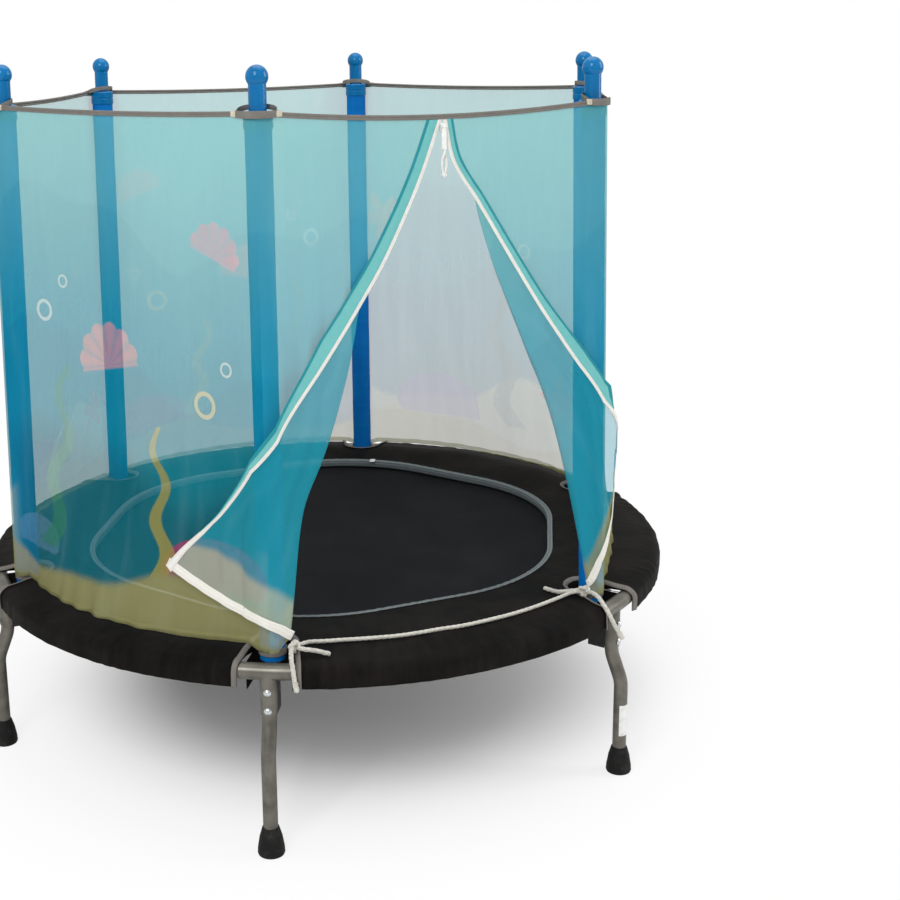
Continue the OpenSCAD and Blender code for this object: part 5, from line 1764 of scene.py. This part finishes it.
    def flap(self, flap: Flap) -> Piece:
        """One door flap, folded back on itself."""
        b = self.build
        t = np.linspace(0, LAST_ROW, 150)
        s, z, off, cloth = self.flap_rows(flap, t, np.linspace(0, 1, 60), np.linspace(0, 1, 52)[1:])
        row_z = b.rim_z + (b.hem_z - b.rim_z) * (t / LAST_ROW)
        uv = columns(cloth, row_z[:, None])
        shell = Shell().grid(self.placed(s, z, off), uv=uv, flip=flap.side > 0)
        return shell.piece(f"door_flap_cloth_{flap.name}", outwards=False)

    def free_edge(self, flap: Flap, t: Array) -> tuple[Array, Array, Array]:
        """The flap's free edge, the level direction away from the doorway, and outwards."""
        s, z, off = self.folded_part(flap, t, np.array([0.88, 1.0]))
        edge = self.placed(s, z, off)[:, -1]
        along = course(edge)
        level = self.placed(s[:, -1:] + flap.side * 0.004, z[:, -1:], off[:, -1:])[:, 0] - edge
        level = squared(level, along)
        out = np.cross(level, along)
        return edge, level, out * np.sign((out * edge * [1, 1, 0]).sum(axis=1, keepdims=True))

    def zip_half(self, flap: Flap) -> Piece:
        """White zip tape on a flap's free edge, with its row of moulded teeth.

        The tape is a thin rounded bar carried along the edge, on the doorway's side of it, and
        grows wider low down. The teeth are a tube on its far side whose radius swells once in
        each pitch, as the square of a sine of the distance along it.
        """
        t = np.linspace(0, LAST_ROW, 900)
        edge, level, out = self.free_edge(flap, t)
        width = np.interp(t, [0, 8.6, 10.0, LAST_ROW], self.zip_w)
        tape = rounded_bar(1.0, self.zip_t, 0.0005, 2)
        tape = tape * columns(width, 1)[:, None] + columns(0.0008 - width / 2, self.zip_off)[:, None]
        run = np.concatenate([[0], np.linalg.norm(np.diff(edge, axis=0), axis=1).cumsum()])
        swell = np.sin(np.pi * run / self.teeth_pitch) ** 2
        teeth = circle(1.0, 8)[None] * (self.teeth_r * (0.72 + 0.28 * swell))[:, None, None]
        teeth = teeth + columns(0.0014 - width, self.zip_off)[:, None]
        return Shell().tube(edge, level, out, tape).tube(edge, level, out, teeth).piece(f"zip_tape_{flap.name}")

    def facing(self, flap: Flap, hem: bool) -> Piece:
        """Teal facing beside the zip, or the narrow hem along its outer side.

        Each row starts at the free edge and runs level away from the doorway, over the flap's
        own cloth where that lies there. It is a thin strip with a front, a back and closed ends.

        Args:
            flap: The flap.
            hem: True for the hem.

        Returns:
            The strip.
        """
        t = np.linspace(0.065, 9.2, 300)
        s, z, off = self.folded_part(flap, t, np.linspace(0, 1, 60))
        lean = np.gradient(s[:, -1]) / np.maximum(np.abs(np.gradient(z[:, -1])), 1e-6)
        width = np.interp(t, *flap.facing) * np.sqrt(1 + lean**2)
        hem_w = np.minimum(self.facing_hem, 0.45 * width)
        low, high = (width - hem_w, width + 0.0004) if hem else (0 * width, width)
        share = np.linspace(0, 1, 4 if hem else 14)
        reach = low[:, None] + (high - low)[:, None] * share
        over = np.maximum(flap.side * (s[:, :1] - s[:, -1:]), 1e-6)
        at = np.clip(1 - reach / over, 0, 1) * (off.shape[1] - 1)
        row, column = np.arange(len(t))[:, None], np.minimum(at.astype(int), off.shape[1] - 2)
        under = off[row, column] + (at - column) * (off[row, column + 1] - off[row, column])
        under = np.maximum(np.where(over > 1e-5, under, off[:, -1:]), off[:, -1:]) + self.facing_off
        thick = self.facing_hem_t if hem else self.facing_t
        faces = [self.placed(s[:, -1:] + flap.side * reach, z[:, -1:] + 0 * reach, under + rise)
                 for rise in (thick * (1 - (2 * share - 1) ** 6), -0.0002 + 0 * share)]
        points = np.concatenate([faces[0], faces[1][:, ::-1]], axis=1)
        ends = [np.repeat(points[k:k + 1].mean(axis=1, keepdims=True), points.shape[1], 1) for k in (0, -1)]
        points = np.concatenate([ends[0], points, ends[1]])
        run = np.concatenate([z[:1, -1], z[:, -1], z[-1:, -1]])[:, None]
        girth = np.concatenate([share, share[::-1] + 1, [2.0]])[None] * float(width.max())
        name = f"zip_facing_{'hem_' if hem else ''}{flap.name}"
        return Shell().grid(points, around=True, uv=columns(run, girth)).piece(name)

    def lower_band(self, flap: Flap) -> Piece:
        """White band folded over a flap's lower edge, from the fold to the free edge."""
        w = np.linspace(0, 1, 120)
        s, z, off = (part[0] for part in self.folded_part(flap, np.array([LAST_ROW]), w))
        down = np.array([flap.side * (z[-1] - z[0]), -abs(s[-1] - s[0])])
        down = down / np.linalg.norm(down)
        path = self.placed(s, z, off)
        below = self.placed(s + down[0] * 0.01, z + down[1] * 0.01, off)
        along = course(path)
        across = squared(below - path, along)
        up = np.cross(along, across)
        bar = rounded_bar(self.band_w, 0.0017, 0.0008, 2) - [self.band_w / 2 - 0.002, -0.0006]
        lift = 0.0002 * ripples(111, 5, 18.0, 45.0, run_along(path))
        return Shell().tube(path + up * lift[:, None], across, up, bar).piece(f"flap_edge_band_{flap.name}")

    def rim_band(self) -> Piece:
        """Two-ply grey tape along the whole rim.

        Its section is two soft lobes, one above the other, with a groove between the plies. It
        is carried along each side's rim and round each post, and closes on itself.
        """
        b = self.build
        seam = b.wrap_l / 2
        path, out = [], []
        s = np.linspace(-1, 1, 91)[:-1] * (b.half_side(b.rim_z) + seam)
        for side in range(b.sides):
            sag = b.door_sag if side == 0 else b.rim_sag
            z = self.rim_at(s, sag)
            angle = 2 * b.half_angle * side
            path.append(turned(self.on_net(s, z - self.tape_low, self.tape_off), angle))
            out.append(turned(self.on_net(s, z, self.tape_off + 0.01) - self.on_net(s, z, self.tape_off), angle))
        lobe = np.linspace(-np.pi / 2, np.pi / 2, 6)
        h, t = self.tape_h / 4, self.tape_t
        upper = columns(t / 2 * np.cos(lobe) ** 0.7 + 0.0006, h + h * 0.96 * np.sin(lobe))
        front = np.vstack([upper - [0, 2 * h], upper])
        back = front[::-1] * [-2.6, 1.0]
        section = np.vstack([front, back])
        shell = Shell().tube(np.vstack(path), unit(np.vstack(out)), UP, section, closed=True)
        return shell.piece("rim_two_ply_tape")

    def post_loops(self) -> tuple[Piece, Piece]:
        """Tape ovals round the caps' stems, and the cream tacks that sew them to the rim.

        Each oval is an ellipse's inner half behind the stem, joined to an outer half that follows
        the net's bend just outside the rim tape.
        """
        b = self.build
        run = (self.loop_half_w - b.net_wrap * math.sin(b.half_angle)) / math.cos(b.half_angle)
        rim_off = b.net_wrap * math.cos(b.half_angle) - run * math.sin(b.half_angle) - 0.001
        depth = rim_off + b.stem_r + 0.0016
        turn = np.linspace(0.02, np.pi - 0.02, 40)
        centre = b.axis_r(b.rim_z) + rim_off
        inner = columns(self.loop_half_w * np.cos(turn), depth * np.sin(turn) - centre,
                        b.rim_z - self.loop_low + 0.0098 * np.sin(turn) ** 0.6)
        middle = b.half_side(b.rim_z) + b.wrap_l / 2
        reach = run + b.wrap_l / 2 + 0.0075
        s = np.linspace(middle + reach, middle - reach, 60)
        fold = turned(self.on_net(s, b.rim_z - self.loop_low, 0.0042), -b.half_angle)
        outer = fold[:: 1 if fold[0, 0] < 0 else -1]
        outer[:, 2] -= 0.0014 * np.sin(np.linspace(0, np.pi, 60))
        bar = rounded_bar(0.0012, 0.0082, 0.0005, 2)
        wide = rounded_bar(0.0013, 0.0112, 0.0006, 2)
        one, tack = Shell(), Shell()
        for path, section in ((inner, bar), (outer[6:-6], wide)):
            along = course(path)
            side = unit(np.cross(along, UP))
            one.tube(path, side, np.cross(side, along), section)
        for at in (outer[:8], outer[-8:]):
            along = unit(np.gradient(at, axis=0)).mean(axis=0)
            spread = np.linspace(-0.0045, 0.0045, 16)[:, None] * along
            ridge = ridged_bar(0.0034, 0.0098, 0.0012, 16)
            across = unit(np.cross(along, UP))
            tack.tube(at.mean(axis=0) + spread, across, UP, ridge)
        loops, tacks = one.turned_to(b.post_angles), tack.turned_to(b.post_angles)
        return loops.piece("post_loops_tape"), tacks.piece("post_loop_tacks")

    def hem_elastics(self) -> Piece:
        """Ribbed elastic round the outer half of each post's foot.

        The section is a bar with two ribs, turned round the post's leaning axis.
        """
        b, half, thick = self.build, self.elastic_h / 2, self.elastic_t / 2
        angle = np.radians(np.linspace(165, 375, 60))
        out = polar(1, angle, 0)
        path = out * (b.foam_r + self.elastic_off) + [0, 0, self.elastic_z]
        height = np.linspace(-half, half, 13)
        ribs = self.elastic_rib * np.abs(np.sin(height / self.elastic_h * 3 * np.pi))
        front = columns(thick + ribs, height)
        back = columns(-thick, np.linspace(half, -half, 5))
        one = Shell().tube(path, out, UP, np.vstack([front, back]))
        posts = FoamPosts(b)
        moves = [partial(posts.on_post, k=k) for k in range(1, b.sides + 1)]
        return one.copies(moves).piece("hem_elastics")

    def door_top(self) -> tuple[Piece, Piece]:
        """Small sewn patches beside the zip's top, and the cream stop above the slider."""
        height = np.linspace(1.1865, 1.1945, 9)
        patches = Shell()
        for middle in (self.zip_x - self.patch_w, self.zip_x + self.patch_w):
            path = self.on_net(middle, height, self.patch_off)
            patches.tube(path, RIGHT, BACK, rounded_bar(self.patch_w, self.patch_t, 0.0005, 2))
        path = self.on_net(self.zip_x, np.linspace(1.1885, 1.1935, 8), self.stop_off)
        stop = Shell().tube(path, RIGHT, BACK, ridged_bar(self.stop_w, self.stop_t, 0.0014, 8))
        return patches.piece("door_top_patches"), stop.piece("zip_top_stop")

    def make(self) -> None:
        """Make the sides, the flaps with their zips and bands, the rim tape and the loops."""
        b = self.build
        for side in range(1, b.sides):
            piece = fitted(self.panel(side), NetPrint(), "net_print", f"net_panel_{side}")
            2 * b.half_side(b.hem_z) + b.wrap_l
        for flap in (LEFT_FLAP, RIGHT_FLAP):
            piece = fitted(self.flap(flap), FLAP_PRINT, "net_print", f"door_flap_{flap.name}")
            tape = fitted(self.zip_half(flap), WovenTape(TapeKind.ZIP_WHITE), "white_cloth", "zip_tapes")
            band = fitted(self.lower_band(flap), WovenTape(TapeKind.BAND_WHITE, stitched=True), "white_cloth",
                          "flap_bands")
            facing = fitted(self.facing(flap, hem=False), WovenTape(TapeKind.TEAL_TAPE), "net_print")
            hem = fitted(self.facing(flap, hem=True), WovenTape(TapeKind.TEAL_HEM), "net_print")
        fitted(self.rim_band(), WovenTape(TapeKind.GREY_ELASTIC), "elastic", "rim_tape")
        loops, tacks = self.post_loops()
        fitted(loops, WovenTape(TapeKind.GREY_ELASTIC), "elastic", "post_loops")
        fitted(tacks, WovenTape(TapeKind.CREAM_THREAD), "elastic")
        fitted(self.hem_elastics(), WovenTape(TapeKind.GREY_ELASTIC), "elastic", "hem_loops")
        patches, stop = self.door_top()
        fitted(patches, WovenTape(TapeKind.TEAL_TAPE), "net_print")
        fitted(stop, WovenTape(TapeKind.CREAM_THREAD), "white_cloth")


@dataclass
class BareLabels:
    """Care tag on the pad's inner binding and sticker on the right front leg, both bare."""

    build: Build = BUILD
    tag_angle: float = 145.0
    tag_w: float = 0.012
    tag_r: float = 0.470
    tag_z: float = 0.3429
    sticker_r: float = 0.0128
    sticker_low: float = 0.075
    sticker_h: float = 0.060
    foot_r: float = 0.676

    def tag(self) -> Piece:
        """Folded satin tag: a thin bar carried along a low loop that lies on the cover."""
        t = np.linspace(0, 1, 24)
        reach = self.tag_r + 0.0088 * np.sin(2.9 * (t - 0.5))
        height = self.tag_z + 0.0016 * np.abs(t - 0.08) ** 0.8 + 0.0004 * np.sin(9 * t)
        path = columns(0, -reach, height)
        _, side, up = frames(path, UP)
        bar = rounded_bar(self.tag_w, 0.0004, 0.00018, 1)
        angle = math.radians(self.tag_angle)
        return Shell().tube(*(turned(v, angle) for v in (path, side, up)), bar).piece("care_tag_bare")

    def sticker(self) -> Piece:
        """Sticker wrapped part of the way round a leg: a thin arc carried up the leg."""
        z = np.linspace(self.sticker_low, self.sticker_low + self.sticker_h, 30)
        angle = np.radians(np.linspace(-160, -24, 34))
        ring = np.concatenate([polar(r, a) for r, a in
                               ((self.sticker_r, angle), (self.sticker_r - 0.00018, angle[::-1]))])
        path = columns(0, -self.foot_r, z)
        shape = (turned(v, self.build.post_angle(2)) for v in (path, RIGHT, BACK))
        return Shell().tube(*shape, ring).piece("leg_sticker_bare")

    def make(self) -> None:
        """Make the tag and the sticker."""
        fitted(self.tag(), SATIN_LABEL, "white_cloth", "labels")
        fitted(self.sticker(), BARE_LABEL, "white_cloth", "labels")


# ---------------------------------------------------------------- camera, lamps and floor


@dataclass
class Studio:
    """Camera, soft lamps, white surroundings and a pale floor that keeps the shadow, lightened by a painted glow."""

    focal: float = 1456.0
    frame_px: float = 900.0
    middle_px: tuple[float, float] = (360.0, 400.0)
    yaw: float = 1.48
    pitch: float = 14.16
    roll: float = -0.91
    distance: float = 2.8402
    height: float = 1.3236
    azimuth: float = -21.23
    aim_z: float = 0.55
    # Centre of the floor's painted glow, set off the middle so that the lightened shadow fades more on one side.
    glow_centre: tuple[float, float] = (0.074, 0.025)

    def camera(self) -> Piece:
        """Set the camera from its angles: look direction, then right and up turned by the roll."""
        yaw, pitch, roll = (math.radians(a) for a in (self.yaw, self.pitch, self.roll))
        look = np.array([math.sin(yaw) * math.cos(pitch), math.cos(yaw) * math.cos(pitch), -math.sin(pitch)])
        right = np.array([math.cos(yaw), -math.sin(yaw), 0.0])
        up = np.cross(right, look)
        right, up = (math.cos(roll) * right + math.sin(roll) * up, math.cos(roll) * up - math.sin(roll) * right)
        place = np.array([0.0, -self.distance, self.height])
        right, up, look, place = (turned(v, math.radians(self.azimuth)) for v in (right, up, look, place))
        data = bpy.data.cameras.new("camera")
        data.sensor_width, data.sensor_fit = 36.0, "HORIZONTAL"
        data.lens = self.focal / self.frame_px * data.sensor_width
        data.shift_x = 0.5 - self.middle_px[0] / self.frame_px
        data.shift_y = self.middle_px[1] / self.frame_px - 0.5
        made = bpy.data.objects.new("camera", data)
        matrix = np.eye(4)
        matrix[:3, 0], matrix[:3, 1], matrix[:3, 2], matrix[:3, 3] = right, up, -look, place
        made.matrix_world = Matrix(matrix.tolist())
        bpy.context.scene.collection.objects.link(made)
        bpy.context.scene.camera = made
        return made

    def lamp(self, name: str, place: Sequence[float], size: Sequence[float], power: float) -> None:
        """Hang one soft rectangular lamp that faces the object's middle."""
        data = bpy.data.lights.new(name, "AREA")
        data.shape, data.size, data.size_y, data.energy = "RECTANGLE", size[0], size[1], power
        made = bpy.data.objects.new(name, data)
        made.location = place
        aim = UP * self.aim_z - place
        tilt, heading = math.atan2(math.hypot(aim[0], aim[1]), -aim[2]), math.atan2(aim[0], -aim[1])
        made.rotation_euler = (tilt, 0.0, heading + math.pi)
        bpy.context.scene.collection.objects.link(made)

    def surroundings(self, strength: float = 0.46) -> None:
        """Light the scene evenly, and show white where the camera, gloss or glass looks past it."""
        world = bpy.data.worlds.new("studio")
        world.use_nodes = True
        g = Graph(world.node_tree)
        ray = g.new("LightPath").outputs
        seen = g.math("ADD", ray["Is Camera Ray"], ray["Is Transmission Ray"], clamp=True)
        through = g.math("MULTIPLY_ADD", ray["Is Glossy Ray"], 0.6, seen, clamp=True)
        level = g.new("MapRange", Value=through, To_Min=strength, To_Max=1.0)
        background = g.new("Background", Color=WHITE, Strength=level.outputs["Result"])
        g.new("OutputWorld", Surface=background.outputs[0])
        bpy.context.scene.world = world

    def floor(self) -> Piece:
        """A wide round floor with a camera-only glow, a painted light: a little under the object, more further out,
        so that the cast shadow is lightened and the far floor turns white.

        Its points are rings about the middle, whose radii grow as a power.
        """
        angle = round_steps(96)
        r = np.concatenate([[0.0], 14.0 * np.linspace(0.05, 1, 30) ** 1.6])[:, None]
        points = polar(r, angle, 0)
        closed = np.concatenate([points, points[:, :1]], axis=1)
        made = Shell().grid(points, around=True, uv=closed[..., :2]).piece("floor", outwards=False)
        n = Nodes("pale_floor_painted_glow")
        n.set(Base_Color=(0.97, 0.97, 0.97), Roughness=0.7, Specular_IOR_Level=0.15)
        ray = n.new("LightPath").outputs
        x, y, _ = n.parts(n.place())
        far = n.length(n.sub(x, self.glow_centre[0]), n.sub(y, self.glow_centre[1]))
        seen = n.math("ADD", ray["Is Camera Ray"], ray["Is Transmission Ray"], clamp=True)
        # Painted light: the camera sees 7% emission under the object, rising by 0.73 between 0.34 m and 0.70 m from
        # the glow's centre, which lightens the cast shadow; a last fifth from 0.6 m to 1.05 m fades the floor into
        # the white surroundings.
        near = n.mad(n.step(far, 0.34, 0.70), 0.73, 0.07)
        share = n.mul(n.mad(n.step(far, 0.6, 1.05), 0.2, near), seen)
        mixed = n.new("MixShader", share, n.shader.outputs[0], n.new("Emission").outputs[0])
        n.put(n.output.inputs["Surface"], mixed.outputs[0])
        made.data.materials.append(n.material)
        made.location.z = -0.0002
        return made

    def make(self) -> None:
        """Set up lamps, surroundings and floor; the camera is made before the pieces."""
        self.lamp("key", (-2.6, -3.0, 3.4), (1.6, 2.2), 105.0)
        self.lamp("side", (3.4, -1.6, 2.2), (1.4, 2.4), 55.0)
        self.lamp("top", (0.3, 0.4, 4.2), (3.0, 3.0), 60.0)
        self.surroundings()
        self.floor()
        bpy.context.scene.view_settings.view_transform = "Standard"


def main() -> None:
    """Build the camera and the cords, then every sub-assembly, then the lamps, surroundings and floor."""
    logging.basicConfig(level=logging.INFO, format="%(name)s: %(message)s")
    studio = Studio()
    studio.camera()
    DoorwayRope().make()
    ZipPull().make()
    SteelFrame().make(frame["nodes"])
    FoamPosts().make()
    SpringMat().make()
    SafetyPad().make()
    EnclosureNet().make()
    BareLabels().make()
    studio.make()


if __name__ == "__main__":
    main()
